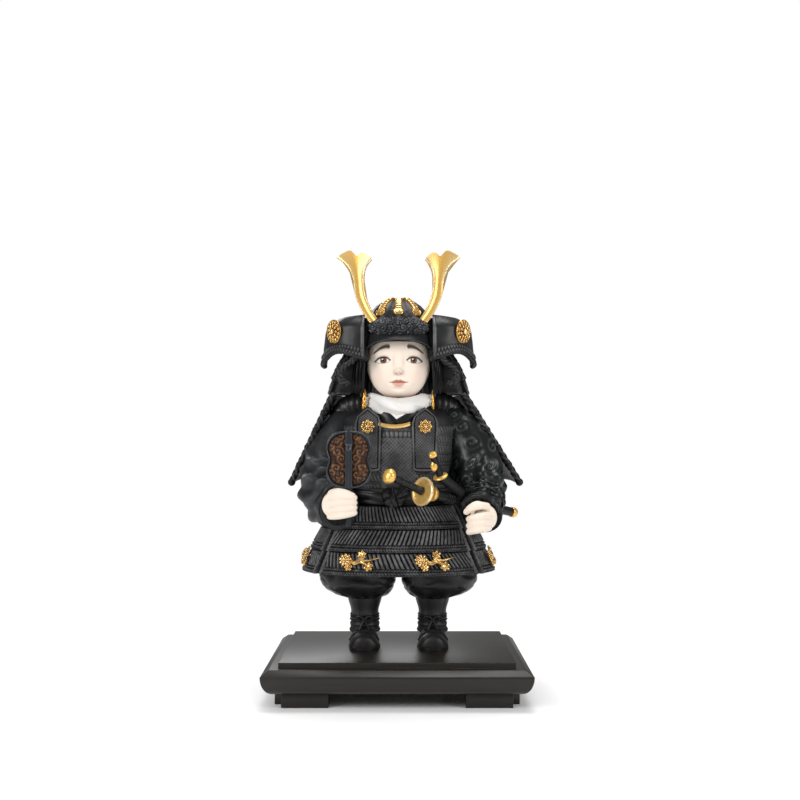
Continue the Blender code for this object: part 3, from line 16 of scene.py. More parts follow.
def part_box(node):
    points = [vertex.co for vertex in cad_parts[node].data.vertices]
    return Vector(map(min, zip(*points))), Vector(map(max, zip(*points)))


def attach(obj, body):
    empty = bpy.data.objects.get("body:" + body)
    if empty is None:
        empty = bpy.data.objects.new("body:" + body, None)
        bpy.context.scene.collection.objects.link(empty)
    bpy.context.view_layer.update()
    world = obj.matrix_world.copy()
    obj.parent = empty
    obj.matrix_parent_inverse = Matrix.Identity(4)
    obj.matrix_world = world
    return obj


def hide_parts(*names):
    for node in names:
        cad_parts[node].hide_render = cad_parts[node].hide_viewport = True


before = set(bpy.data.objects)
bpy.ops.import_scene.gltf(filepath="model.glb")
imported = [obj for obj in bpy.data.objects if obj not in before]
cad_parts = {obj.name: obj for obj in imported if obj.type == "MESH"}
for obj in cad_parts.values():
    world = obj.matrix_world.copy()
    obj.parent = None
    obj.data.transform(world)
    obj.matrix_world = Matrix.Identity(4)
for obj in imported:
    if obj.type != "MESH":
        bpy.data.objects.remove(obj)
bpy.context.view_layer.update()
MM = 0.001
print("nodes in the frame:", len(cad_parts))

# %% [markdown]
# Every place below is in millimetres and is read from the boxes of the CAD nodes, so a piece
# stays where its solid is. `edge` gives one side of such a box.

# %% Places that many pieces share
AXES = {"left": (0, 0), "right": (1, 0), "front": (0, 1), "back": (1, 1), "bottom": (0, 2), "top": (1, 2)}


def edge(node, side):
    """One side of a CAD node's box, in millimetres."""
    end, axis = AXES[side]
    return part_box(node)[end][axis] / MM


MIDDLE = (edge("body_armour", "left") + edge("body_armour", "right")) / 2
BOARD_TOP = edge("stand_board", "top")
WAIST = edge("trousers", "top")
NECK = edge("body_armour", "top")
CHIN = edge("head", "bottom")
RIM = edge("helmet_bowl", "bottom")
SKIRT_TOP = edge("skirt_front", "top")
SIDES = ((-1, "left"), (1, "right"))
print("waist, neck and helmet rim at", round(WAIST, 1), round(NECK, 1), round(RIM, 1), "mm")

# %% [markdown]
# ## Camera, light and floor
# The photograph was taken with a level camera a little over a metre away, as high as the middle of the
# figure. A level camera keeps upright edges upright, and the lens shift moves the picture instead.

# %% The camera
camera_data = bpy.data.cameras.new("camera")
camera_data.lens = 51.1
camera_data.sensor_width = 36
camera_data.shift_y = 0.04625
camera_data.clip_end = 20
camera = bpy.data.objects.new("camera", camera_data)
camera.location = (0.0026, -1.136, 0.2508)
camera.rotation_euler = (math.radians(90), 0, 0)
bpy.context.collection.objects.link(camera)
bpy.context.scene.camera = camera
bpy.context.scene.view_settings.view_transform = "Standard"
print("camera lens", camera_data.lens)

# %% [markdown]
# Shader nodes are made and linked in many places, so two helpers write each on one line: `add` makes a
# node and sets its sockets, and `wire` links nodes. `new_finish` starts every material.


# %% Helpers for shader nodes
def add(tree, kind, **values):
    """A node with its settings and its sockets, which are given by name or, as _0 or _1, by number."""
    node = tree.nodes.new(kind)
    for label, value in values.items():
        if hasattr(node, label):
            setattr(node, label, value)
        else:
            socket = int(label[1:]) if label[0] == "_" else label.replace("_", " ")
            node.inputs[socket].default_value = value
    return node


def wire(tree, *links):
    """Links sockets. Each link is a node and its output, then a node and its input."""
    for source, out, target, into in links:
        tree.links.new(source.outputs[out], target.inputs[into])


def new_finish(name, **values):
    """A new material, its node tree, and its shader with these sockets set."""
    finish = bpy.data.materials.new(name)
    finish.use_nodes = True
    shader = finish.node_tree.nodes["Principled BSDF"]
    for label, value in values.items():
        shader.inputs[label.replace("_", " ")].default_value = value
    return finish, finish.node_tree, shader


print("shader helpers ready")

# %% [markdown]
# A dark figure is read by its reflections, so two large soft lamps stand in front, one on each side,
# and a third above gives the tops of the ridges their light. The world is white for the camera and dimmer
# for everything else.


# %% Lamps and world
def make_lamp(name, place, aim_height, size, power):
    """A soft rectangular lamp, in metres and watts, that looks at the figure at some height."""
    data = bpy.data.lights.new(name, "AREA")
    data.shape = "RECTANGLE"
    data.size, data.size_y = size
    data.energy = power
    lamp = bpy.data.objects.new(name, data)
    lamp.location = place
    lamp.rotation_euler = (Vector((0, 0, aim_height)) - Vector(place)).to_track_quat("-Z", "Y").to_euler()
    bpy.context.collection.objects.link(lamp)


make_lamp("lamp_left", (-1.1, -1.0, 0.9), 0.25, (0.55, 0.8), 16)
make_lamp("lamp_right", (1.2, -0.9, 0.8), 0.25, (0.45, 0.8), 12)
make_lamp("lamp_top", (0.1, 0.1, 1.4), 0.2, (0.8, 0.6), 12)
make_lamp("lamp_back", (-0.3, 1.3, 0.9), 0.3, (1.0, 0.6), 7)
SKY_LIGHT, SKY_IN_MIRRORS = 0.34, 0.22

world = bpy.data.worlds.new("studio")
bpy.context.scene.world = world
world.use_nodes = True
sky = world.node_tree
background = sky.nodes["Background"]
background.inputs["Color"].default_value = (1, 1, 1, 1)
rays = add(sky, "ShaderNodeLightPath")
seen = add(sky, "ShaderNodeMath", operation="MAXIMUM")
glossy = add(sky, "ShaderNodeMath", operation="MULTIPLY_ADD", _1=SKY_IN_MIRRORS - SKY_LIGHT, _2=SKY_LIGHT)
strength = add(sky, "ShaderNodeMath", operation="MAXIMUM")
wire(sky, (rays, "Is Camera Ray", seen, 0), (rays, "Is Transmission Ray", seen, 1),
     (rays, "Is Glossy Ray", glossy, 0), (seen, 0, strength, 0), (glossy, 0, strength, 1),
     (strength, 0, background, "Strength"))

# %% [markdown]
# The floor catches a soft shadow near the stand. Further out it fades into the white of the world.

# %% Floor
FADE_START, FADE_END = 0.22, 0.6
floor_bm = bmesh.new()
bmesh.ops.create_grid(floor_bm, x_segments=1, y_segments=1, size=6)
floor_mesh = bpy.data.meshes.new("floor")
floor_bm.to_mesh(floor_mesh)
floor_bm.free()
floor = bpy.data.objects.new("floor", floor_mesh)
bpy.context.collection.objects.link(floor)
floor_paint, tree, shader = new_finish("floor_paint", Base_Color=(0.92, 0.92, 0.92, 1), Roughness=0.6)
place = add(tree, "ShaderNodeTexCoord")
reach = add(tree, "ShaderNodeVectorMath", operation="LENGTH")
fade = add(tree, "ShaderNodeMapRange", interpolation_type="SMOOTHSTEP", From_Min=FADE_START,
           From_Max=FADE_END)
rays = add(tree, "ShaderNodeLightPath")
share = add(tree, "ShaderNodeMath", operation="MULTIPLY")
glow = add(tree, "ShaderNodeEmission")
mix = add(tree, "ShaderNodeMixShader")
wire(tree, (place, "Object", reach, 0), (reach, "Value", fade, "Value"), (fade, "Result", share, 0),
     (rays, "Is Camera Ray", share, 1), (share, "Value", mix, "Fac"), (shader, "BSDF", mix, 1),
     (glow, "Emission", mix, 2), (mix, "Shader", tree.nodes["Material Output"], "Surface"))
floor_mesh.materials.append(floor_paint)
print("floor fades from", FADE_START, "to", FADE_END, "m")

# %% [markdown]
# ## Tools for shapes
# Almost everything on the figure is a worked sheet: a grid that a formula bends into place, with the
# lacing, folds or strands raised on it. `lay` does that, and it also notes at each vertex how high it
# stands, as the attribute `ridge`. The finishes brush that height with a paler colour, as the painter of
# the real figure does with a dry brush.


# %% Sheets, tubes and shells
def lay(bm, across, along, place):
    """Bends a grid: place(u, v) gives a point in millimetres and its share of the relief."""
    layer = bm.verts.layers.float.get("ridge") or bm.verts.layers.float.new("ridge")
    made = bmesh.ops.create_grid(bm, x_segments=across, y_segments=along, size=0.5)
    grid = {}
    for vert in made["verts"]:
        u, v = vert.co.x + 0.5, vert.co.y + 0.5
        grid[round(u * across), round(v * along)] = vert
        vert.co, vert[layer] = place(u, v)
    return grid


def close(bm):
    """Welds seams and fills what is still open."""
    bmesh.ops.remove_doubles(bm, verts=bm.verts, dist=0.0005)
    bmesh.ops.holes_fill(bm, edges=[side for side in bm.edges if side.is_boundary], sides=0)


def keep(bm, name, finish, smooth=35, merge=True):
    """Makes an object in metres from a bmesh in millimetres, with its finish."""
    if merge:
        bmesh.ops.remove_doubles(bm, verts=bm.verts, dist=0.0005)
    bmesh.ops.recalc_face_normals(bm, faces=bm.faces)
    bmesh.ops.scale(bm, vec=(MM, MM, MM), verts=bm.verts)
    mesh = bpy.data.meshes.new(name)
    bm.to_mesh(mesh)
    bm.free()
    mesh.shade_smooth()
    mesh.set_sharp_from_angle(angle=math.radians(smooth))
    mesh.materials.append(finish)
    piece = bpy.data.objects.new(name, mesh)
    bpy.context.collection.objects.link(piece)
    return piece


def pour(part, bm):
    """Moves a finished part into a larger bmesh."""
    spare = bpy.data.meshes.new("spare")
    part.to_mesh(spare)
    part.free()
    bm.from_mesh(spare)
    bpy.data.meshes.remove(spare)


def join_rows(part, steps, *rims):
    """Joins rows of grids by faces. Each rim is a grid and its row."""
    sides = [part.edges.get((grid[step, row], grid[step + 1, row]))
             for grid, row in rims for step in range(steps)]
    bmesh.ops.bridge_loops(part, edges=sides)


def wrap(bm, across, along, place):
    """A grid that closes round on itself, with its ends capped."""
    part = bmesh.new()
    lay(part, across, along, place)
    close(part)
    pour(part, bm)


def shell(bm, across, along, outer, inner, inner_along=2):
    """A worked outer face and a plain inner face, joined round their rims."""
    part = bmesh.new()
    front = lay(part, across, along, outer)
    back = lay(part, across, inner_along, inner)
    join_rows(part, across, (front, 0), (back, 0))
    join_rows(part, across, (front, along), (back, inner_along))
    close(part)
    bmesh.ops.recalc_face_normals(part, faces=part.faces)
    pour(part, bm)


def curve_through(rows, steps):
    """Rows of numbers joined by a smooth curve, with so many steps between two rows."""
    smooth = []
    for index in range(len(rows) - 1):
        before = rows[max(index - 1, 0)]
        after = rows[min(index + 2, len(rows) - 1)]
        for step in range(steps):
            t = step / steps
            smooth.append(tuple(
                0.5 * (2 * b + (c - a) * t + (2 * a - 5 * b + 4 * c - d) * t ** 2
                       + (3 * b - a - 3 * c + d) * t ** 3)
                for a, b, c, d in zip(before, rows[index], rows[index + 1], after)))
    smooth.append(tuple(rows[-1]))
    return smooth


def on_ring(middle, across, rise, wide, tall, turn):
    """A point of the ellipse that two directions span round a middle."""
    return middle + across * wide * math.cos(turn) + rise * tall * math.sin(turn)


def tube(bm, rows, sides, relief=None):
    """A tube along a path. Each row holds x, y, z and the radius, and relief adds to the radius."""
    last = len(rows) - 1
    middles = [Vector(row[:3]) for row in rows]
    across = (middles[1] - middles[0]).orthogonal().normalized()
    frames = []
    for index in range(last + 1):
        ahead = (middles[min(index + 1, last)] - middles[max(index - 1, 0)]).normalized()
        across = (across - ahead * across.dot(ahead)).normalized()
        frames.append((across, ahead.cross(across)))

    def place(u, v):
        index = round(v * last)
        grow = relief(u, v) if relief else 0.0
        reach = rows[index][3] + grow
        return on_ring(middles[index], *frames[index], reach, reach, 2 * math.pi * u), max(0.0, grow)

    wrap(bm, sides, last, place)


def twist(strands, turns, depth):
    """The relief of a cord laid up from strands."""
    return lambda u, v: depth * (abs(math.cos(math.pi * (strands * u + turns * v))) ** 0.7 - 0.5)


def adopt(piece, slot, *nodes):
    """Fixes a piece to the figure and hides the solids it stands for. The slot, which names the piece's finish, is
    not used.
    """
    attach(piece, "root")
    if nodes:
        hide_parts(*nodes)
    return piece


def refined(node, finish, width, segments=2):
    """A copy of a CAD node with its loose triangles merged and its edges rounded."""
    bm = bmesh.new()
    bm.from_mesh(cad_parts[node].data)
    bmesh.ops.scale(bm, vec=(1 / MM,) * 3, verts=bm.verts)
    bmesh.ops.remove_doubles(bm, verts=bm.verts, dist=0.001)
    bmesh.ops.dissolve_limit(bm, angle_limit=math.radians(2), verts=bm.verts, edges=bm.edges)
    sharp = [side for side in bm.edges if len(side.link_faces) == 2 and side.calc_face_angle() > 0.5]
    bmesh.ops.bevel(bm, geom=sharp, offset=width, segments=segments, profile=0.5, affect="EDGES",
                    material=-1, clamp_overlap=True)
    bmesh.ops.triangulate(bm, faces=[face for face in bm.faces if len(face.verts) > 4])
    return keep(bm, "fine_" + node, finish)


print("helpers ready")

# %% [markdown]
# ## Finishes
# The real figure is porcelain that is painted to look like many materials. Four small effects are shared
# by the finishes, so each is built once as a node group: ridges brushed with a paler colour, a fine
# grain, a weave, and the grain of wood.


# %% Shared effects
def new_group(name, inputs, outputs):
    """A node group. A single number makes a float input, and four make a colour."""
    group = bpy.data.node_groups.new(name, "ShaderNodeTree")
    for label, value in inputs.items():
        kind = "NodeSocketFloat" if isinstance(value, float) else "NodeSocketColor"
        socket = group.interface.new_socket(label, in_out="INPUT", socket_type=kind)
        socket.default_value = value
    for label in outputs:
        kind = "NodeSocketColor" if label == "Colour" else "NodeSocketFloat"
        group.interface.new_socket(label, in_out="OUTPUT", socket_type=kind)
    return group, group.nodes.new("NodeGroupInput"), group.nodes.new("NodeGroupOutput")


def make_brushed_ridges():
    """The share of pale paint grows with the height of the relief and is broken up by soft patches."""
    group, start, end = new_group("brushed_ridges", {
        "Dark": (0.04, 0.04, 0.042, 1), "Pale": (0.14, 0.14, 0.145, 1), "Amount": 1.0, "Patches": 60.0},
        ("Colour", "Mask"))
    ridge = add(group, "ShaderNodeAttribute", attribute_name="ridge")
    power = add(group, "ShaderNodeMath", operation="POWER", _1=2.2)
    place = add(group, "ShaderNodeTexCoord")
    speck = add(group, "ShaderNodeTexNoise", Detail=4.0, Roughness=0.65)
    spread = add(group, "ShaderNodeMapRange", From_Min=0.35, From_Max=0.65, To_Min=0.35)
    amount = add(group, "ShaderNodeMath", operation="MULTIPLY", use_clamp=True)
    mask = add(group, "ShaderNodeMath", operation="MULTIPLY", use_clamp=True)
    mix = add(group, "ShaderNodeMix", data_type="RGBA")
    wire(group, (ridge, "Fac", power, 0), (place, "Object", speck, "Vector"),
         (start, "Patches", speck, "Scale"), (speck, "Fac", spread, "Value"), (power, 0, amount, 0), (start, "Amount", amount, 1),
         (amount, 0, mask, 0), (spread, "Result", mask, 1), (mask, 0, mix, "Factor"), (start, "Dark", mix, "A"),
         (start, "Pale", mix, "B"), (mix, "Result", end, "Colour"), (mask, 0, end, "Mask"))
    return group


def make_fine_grain():
    """A fine noise mixed with a broad one."""
    group, start, end = new_group("fine_grain", {"Scale": 900.0, "Coarse": 0.4}, ("Height",))
    place = add(group, "ShaderNodeTexCoord")
    fine = add(group, "ShaderNodeTexNoise", Detail=3.0)
    broad = add(group, "ShaderNodeTexNoise", Scale=110.0, Detail=3.0)
    mix = add(group, "ShaderNodeMix", data_type="FLOAT")
    wire(group, (place, "Object", fine, "Vector"), (place, "Object", broad, "Vector"),
         (start, "Scale", fine, "Scale"), (start, "Coarse", mix, "Factor"), (fine, "Fac", mix, "A"), (broad, "Fac", mix, "B"),
         (mix, "Result", end, "Height"))
    return group


def make_weave():
    """Two families of threads that cross."""
    group, start, end = new_group("weave", {"Threads": 900.0}, ("Height",))
    place = add(group, "ShaderNodeTexCoord")
    both = add(group, "ShaderNodeMath", operation="MAXIMUM")
    for index, direction in enumerate("XZ"):
        wave = add(group, "ShaderNodeTexWave", wave_type="BANDS", bands_direction=direction, Distortion=1.2)
        wire(group, (place, "Object", wave, "Vector"), (start, "Threads", wave, "Scale"),
             (wave, "Fac", both, index))
    wire(group, (both, 0, end, "Height"))
    return group


def make_wood_grain():
    """Streaks along the board, from one stretched noise."""
    group, start, end = new_group("wood_grain", {"Dark": (0.012, 0.009, 0.008, 1), "Pale": (0.03, 0.02, 0.017, 1)},
                                  ("Colour", "Height"))
    place = add(group, "ShaderNodeTexCoord")
    stretch = add(group, "ShaderNodeMapping", Scale=(6, 90, 90))
    streak = add(group, "ShaderNodeTexNoise", Scale=3.0, Detail=8.0, Roughness=0.6, Distortion=0.4)
    mix = add(group, "ShaderNodeMix", data_type="RGBA")
    wire(group, (place, "Object", stretch, "Vector"), (stretch, "Vector", streak, "Vector"),
         (streak, "Fac", mix, "Factor"), (start, "Dark", mix, "A"), (start, "Pale", mix, "B"),
         (mix, "Result", end, "Colour"), (streak, "Fac", end, "Height"))
    return group


BRUSHED, GRAIN, WEAVE, WOOD_GRAIN = make_brushed_ridges(), make_fine_grain(), make_weave(), make_wood_grain()
print("shared effects:", len(bpy.data.node_groups))

# %% [markdown]
# Each finish below joins these effects to its own Principled shader. `painted` is the common case: a dark
# coat with paler ridges, a roughness that falls where the brush has polished the paint, and a fine bump.


# %% Painted finishes
def place_group(tree, group, **values):
    """Puts a shared effect into a finish and sets its inputs."""
    node = tree.nodes.new("ShaderNodeGroup")
    node.node_tree = group
    for label, value in values.items():
        node.inputs[label].default_value = value
    return node


def add_bump(tree, source, shader, strength, distance):
    """Lets the height from one node bend the light on the surface."""
    rise = add(tree, "ShaderNodeBump", Strength=strength, Distance=distance)
    wire(tree, (source, "Height", rise, "Height"), (rise, "Normal", shader, "Normal"))


def painted(name, dark, pale, rough, shine, amount=1.0, bump=0.25, patches=60.0, weave=0.0, metal=0.0,
            grain=900.0, coarse=0.4):
    """A painted coat: dark in the hollows and pale on the ridges, between two roughnesses."""
    finish, tree, shader = new_finish(name, Metallic=metal, Specular_IOR_Level=0.5 if metal else 0.26)
    ridges = place_group(tree, BRUSHED, Dark=(*dark, 1), Pale=(*pale, 1), Amount=amount, Patches=patches)
    polish = add(tree, "ShaderNodeMapRange", To_Min=rough, To_Max=shine)
    wire(tree, (ridges, "Colour", shader, "Base Color"), (ridges, "Mask", polish, "Value"),
         (polish, "Result", shader, "Roughness"))
    if weave:
        surface = place_group(tree, WEAVE, Threads=weave)
    else:
        surface = place_group(tree, GRAIN, Scale=grain, Coarse=coarse)
    add_bump(tree, surface, shader, bump, 0.0004)
    return finish


ARMOUR = painted("armour", (0.0035, 0.0035, 0.004), (0.125, 0.125, 0.13), 0.44, 0.24, amount=1.15)
PLAIN_ARMOUR = painted("smooth_armour", (0.008, 0.0084, 0.009), (0.055, 0.055, 0.06), 0.36, 0.28,
                       bump=0.18, coarse=0.7)
FUR = painted("curled_pad", (0.004, 0.0042, 0.005), (0.15, 0.155, 0.17), 0.42, 0.28)
CLOTH = painted("black_cloth", (0.006, 0.006, 0.006), (0.05, 0.051, 0.051), 0.36, 0.27, coarse=0.6)
GREY_CLOTH = painted("grey_cloth", (0.009, 0.0095, 0.0105), (0.08, 0.082, 0.086), 0.42, 0.3,
                     weave=700.0, bump=0.2)
BROCADE = painted("brocade", (0.006, 0.007, 0.007), (0.085, 0.088, 0.088), 0.33, 0.2, coarse=0.6, bump=0.15)
LEATHER = painted("boot_leather", (0.010, 0.010, 0.010), (0.10, 0.10, 0.10), 0.46, 0.3, coarse=0.6, bump=0.5)
WING_LEATHER = painted("wing_leather", (0.006, 0.0064, 0.007), (0.12, 0.12, 0.125), 0.4, 0.28,
                       bump=0.3, patches=45.0, coarse=0.8)
HAIR = painted("hair", (0.006, 0.006, 0.0065), (0.06, 0.061, 0.065), 0.36, 0.26, bump=0.1)
SCABBARD = painted("scabbard", (0.009, 0.009, 0.009), (0.07, 0.07, 0.07), 0.38, 0.27, bump=0.2)
FAN_STEEL = painted("fan_steel", (0.012, 0.014, 0.017), (0.08, 0.092, 0.105), 0.36, 0.24,
                    metal=0.35, bump=0.2)
CARVED = painted("carved_brown", (0.022, 0.008, 0.003), (0.23, 0.095, 0.03), 0.36, 0.22,
                 amount=1.3, patches=160.0)
GILT = painted("gilt", (0.50, 0.26, 0.05), (0.95, 0.74, 0.38), 0.26, 0.16,
               amount=1.2, metal=0.8, bump=0.06, patches=200.0, coarse=0.8)
SATIN_GILT = painted("satin_gilt", (0.80, 0.48, 0.12), (0.98, 0.84, 0.55), 0.32, 0.24,
                     amount=0.95, metal=0.6, bump=0.05, patches=40.0, coarse=0.9)
LINEN = painted("linen", (0.72, 0.70, 0.67), (0.87, 0.86, 0.84), 0.55, 0.5, weave=1100.0, bump=0.06)
SKIN = painted("porcelain_hands", (0.79, 0.675, 0.57), (0.83, 0.71, 0.61), 0.44, 0.38, bump=0.05, coarse=0.8)
print("painted finishes:", len(bpy.data.materials) - 1)

# %% [markdown]
# The wood of the stand and the porcelain of the face have finishes of their own. The face takes its
# colours from the vertices of the head, and a little light passes under its surface.


# %% Wood and porcelain
def make_stand_wood():
    finish, tree, shader = new_finish("stand_wood", Specular_IOR_Level=0.32)
    grain = place_group(tree, WOOD_GRAIN, Dark=(0.008, 0.0064, 0.0052, 1), Pale=(0.019, 0.015, 0.012, 1))
    rough = add(tree, "ShaderNodeMapRange", To_Min=0.28, To_Max=0.4)
    wire(tree, (grain, "Colour", shader, "Base Color"), (grain, "Height", rough, "Value"),
         (rough, "Result", shader, "Roughness"))
    add_bump(tree, grain, shader, 0.05, 0.0003)
    return finish


def make_porcelain():
    finish, tree, shader = new_finish("painted_face", Roughness=0.42, Specular_IOR_Level=0.2,
                                      Subsurface_Weight=0.05, Subsurface_Radius=(0.004, 0.002, 0.001),
                                      Subsurface_Scale=1.0)
    paint = add(tree, "ShaderNodeVertexColor", layer_name="paint")
    grain = place_group(tree, GRAIN, Scale=500.0, Coarse=0.8)
    wire(tree, (paint, "Color", shader, "Base Color"))
    add_bump(tree, grain, shader, 0.04, 0.0003)
    return finish


STAND_WOOD, FACE = make_stand_wood(), make_porcelain()
print("finishes in all:", len(bpy.data.materials) - 1)

# %% [markdown]
# ## The stand
# A board sits on a moulded frame with four corner feet. The moulding is one profile that runs round a
# rectangle: a step, a slope, then a quarter round. A grid bent round the rectangle gives it in one piece,
# and a small bevel gives its edges the soft line of sanded and lacquered wood.

# %% The stand
TOP_HALF = (110.2, 86.6)
STEP_OUT, STEP_DOWN = 8.0, 5.0
SLOPE_OUT, SLOPE_DOWN = 15.3, 10.4
COVE_IN, COVE_DOWN = 11.0, 17.3
MOULDING = [(0.0, 0.0), (0.0, -STEP_DOWN), (STEP_OUT, -STEP_DOWN), (SLOPE_OUT, -SLOPE_DOWN)]
for angle in range(9, 91, 9):
    turn = math.radians(angle)
    MOULDING.append((SLOPE_OUT - COVE_IN * (1 - math.cos(turn)), -SLOPE_DOWN - COVE_DOWN * math.sin(turn)))
CORNERS = ((-1, -1), (1, -1), (1, 1), (-1, 1))
ROUNDING = 0.7


def make_stand_board():
    bm = bmesh.new()

    def place(u, v):
        out, down = MOULDING[round(v * (len(MOULDING) - 1))]
        x, y = CORNERS[round(u * 4) % 4]
        return Vector((x * (TOP_HALF[0] + out), y * (TOP_HALF[1] + out), BOARD_TOP + down)), 0.0

    wrap(bm, 4, len(MOULDING) - 1, place)
    sharp = [side for side in bm.edges if side.calc_face_angle(0) > 0.4]
    bmesh.ops.bevel(bm, geom=sharp, offset=ROUNDING, segments=3, profile=0.5, affect="EDGES", material=-1,
                    clamp_overlap=True)
    return adopt(keep(bm, "moulded_board", STAND_WOOD), "stand_wood", "stand_board")


make_stand_board()
for foot in ("front_left", "front_right", "back_left", "back_right"):
    adopt(refined("stand_foot_" + foot, STAND_WOOD, 0.6), "stand_wood", "stand_foot_" + foot)
print("stand top at", round(BOARD_TOP, 1), "mm")

# %% [markdown]
# ## Boots and shins
# Each boot is a low shoe with a toe cap, a knitted instep, a strap and a bow, and its shaft carries the
# upright splints of a shin guard. The shoe is a tube bent along the foot; straps and bow are cords.

# %% The boots
STANCE = 34.0
SOLE = BOARD_TOP + 0.3
SOLE_THICK = 3.4
ANKLE = SOLE + 32.0
KNEE = ANKLE + 17.0
TOE_Y = -30.0
FOOT_LENGTH = 62.0
FOOT_HALF = 14.5
FOOT_TALL = 29.0
SHAFT_Y = TOE_Y + FOOT_LENGTH * 0.6
SHAFT_FOOT = SOLE + 14
KNIT_START, KNIT_END = 0.24, 0.56
FOOT_STATIONS = curve_through((
    (0.0, 0.0, 0.1), (0.012, 0.4, 0.25), (0.05, 0.72, 0.36), (0.14, 0.94, 0.44), (0.3, 1.0, 0.5),
    (0.46, 0.98, 0.66), (0.62, 0.92, 0.74), (0.82, 0.84, 0.72), (1.0, 0.5, 0.5)), 12)


def foot_station(share):
    """How far along the foot a share of the grid lies, with the foot's width and height there."""
    return FOOT_STATIONS[min(len(FOOT_STATIONS) - 1, round(share * (len(FOOT_STATIONS) - 1)))]


def foot_point(x, turn, share, grow=0.0):
    """A point of the shoe's upper: round from the outer side over the top, and along from the toe."""
    along, width, height = foot_station(share)
    up = math.sin(turn)
    return Vector((x + (width * FOOT_HALF + grow) * math.cos(turn), TOE_Y + FOOT_LENGTH * along,
                   SOLE + 3.0 + (FOOT_TALL * height + grow) * (up if up > 0 else 0.06 * up)))


def add_sole(bm, x):
    """A flat sole with squared ends, a little wider at the toes."""
    outline = bmesh.ops.create_circle(bm, cap_ends=True, radius=1.0, segments=40)["verts"]
    reach = FOOT_LENGTH / 2 + 1.0
    for vert in outline:
        wide = FOOT_HALF + 1.2 if vert.co.y < 0 else FOOT_HALF * 0.92 + 1.0
        square = (abs(vert.co.x) ** 2.6 + abs(vert.co.y) ** 2.6) ** (-1 / 2.6)
        vert.co = Vector((x + wide * vert.co.x * square,
                          TOE_Y + FOOT_LENGTH / 2 + reach * vert.co.y * square, SOLE))
    raised = bmesh.ops.extrude_face_region(bm, geom=[outline[0].link_faces[0]])["geom"]
    top = [item for item in raised if isinstance(item, bmesh.types.BMVert)]
    bmesh.ops.translate(bm, vec=(0, 0, SOLE_THICK), verts=top)


def make_shoe(side, label):
    x = MIDDLE + side * STANCE
    bm = bmesh.new()

    def upper(u, v):
        turn = 2 * math.pi * u
        station = foot_station(v)[0]
        knit = 0.0
        if KNIT_START < station < KNIT_END and math.sin(turn) > 0.3:
            knit = 0.5 * abs(math.sin(34 * turn)) * abs(math.sin(150 * station))
        cap = 0.7 if station <= 0.22 else 0.0
        seam = -0.5 if abs(station - KNIT_START) < 0.012 else 0.0
        wrinkle = 0.5 * noise.noise(Vector((turn * 2, station * 14, side)))
        swell = (knit + cap + seam + wrinkle) * min(1.0, v / 0.03)
        return foot_point(x, turn, v, swell), max(0.0, knit + cap * 0.4 + wrinkle * 0.5)

    def splints(u, v):
        level = SHAFT_FOOT + v * (KNEE - SOLE - 8)
        if level > ANKLE:
            return 0.9 * (abs(math.cos(6 * math.pi * u)) ** 0.4) - 0.4
        return 0.5 * math.sin(level * 1.1) + 0.4 * noise.noise(Vector((u * 9, v * 7, side)))

    wrap(bm, 80, 70, upper)
    add_sole(bm, x)
    widths = ((SHAFT_FOOT, 15.6), (SOLE + 22, 14.4), (SOLE + 30, 13.8), (ANKLE + 4, 13.6), (KNEE - 2, 16.6),
              (KNEE + 6, 17.0))
    shaft = [(x, SHAFT_Y, z, width) for z, width in widths]
    tube(bm, curve_through(shaft, 10), 72, splints)
    return adopt(keep(bm, "boot_leather_" + label, LEATHER, smooth=50), "leather", "boot_" + label)


def loop_round(x, y, z, reach, steps, dip, radius):
    """A ring of cord round the ankle, dipping towards the front."""
    rows = []
    for step in range(steps + 1):
        turn = 2 * math.pi * step / steps
        rows.append((x + reach * math.sin(turn), y - reach * math.cos(turn), z - dip * math.cos(turn), radius))
    return rows


def make_boot_cords(side, label):
    x = MIDDLE + side * STANCE
    bm = bmesh.new()
    for level, reach, dip in ((ANKLE - 1.0, 14.3, 0.4), (ANKLE - 3.4, 14.3, 0.0), (ANKLE - 6.0, 14.6, 0.8)):
        tube(bm, loop_round(x, SHAFT_Y, level, reach, 40, dip, 0.6), 8, twist(2, 40, 0.25))
    front = SHAFT_Y - 15.4
    knot = (x, front - 1.6, ANKLE - 5.0)
    for reach in (-1, 1):
        bow = ((*knot, 1.0), (x + reach * 4.5, front - 2.6, ANKLE - 1.5, 1.2),
               (x + reach * 8.2, front - 0.6, ANKLE - 3.6, 1.1), (x + reach * 4.0, front - 2.0, ANKLE - 6.0, 1.0),
               (*knot, 0.9))
        tail = ((*knot, 1.0), (x + reach * 3.0, front - 2.4, ANKLE - 10.0, 1.0),
                (x + reach * 5.0, front - 4.0, ANKLE - 14.5, 0.8))
        for cord in (bow, tail):
            tube(bm, curve_through(cord, 8), 8)
    for vert in bmesh.ops.create_uvsphere(bm, u_segments=12, v_segments=8, radius=1.0)["verts"]:
        vert.co = Vector(knot) + Vector((vert.co.x * 1.9, vert.co.y * 1.5, vert.co.z * 1.7))
    for share, low, high in ((0.3, 0.06, 0.94), (0.5, 0.1, 0.9)):
        rows = []
        for step in range(31):
            turn = math.pi * (low + (high - low) * step / 30)
            rows.append((*foot_point(x, turn, share - 0.05 * math.sin(turn), 0.6), 0.9))
        tube(bm, rows, 8, twist(2, 16, 0.3))
    return adopt(keep(bm, "boot_cords_" + label, LEATHER), "leather")


for side, label in SIDES:
    make_shoe(side, label)
    make_boot_cords(side, label)

# %% [markdown]
# ## Trousers
# Full trousers puff out over the shins and gather in at the knee. Two lofts give the legs, with folds
# that are deep at the gather and fade upwards, and a third closes the hips under the skirt.

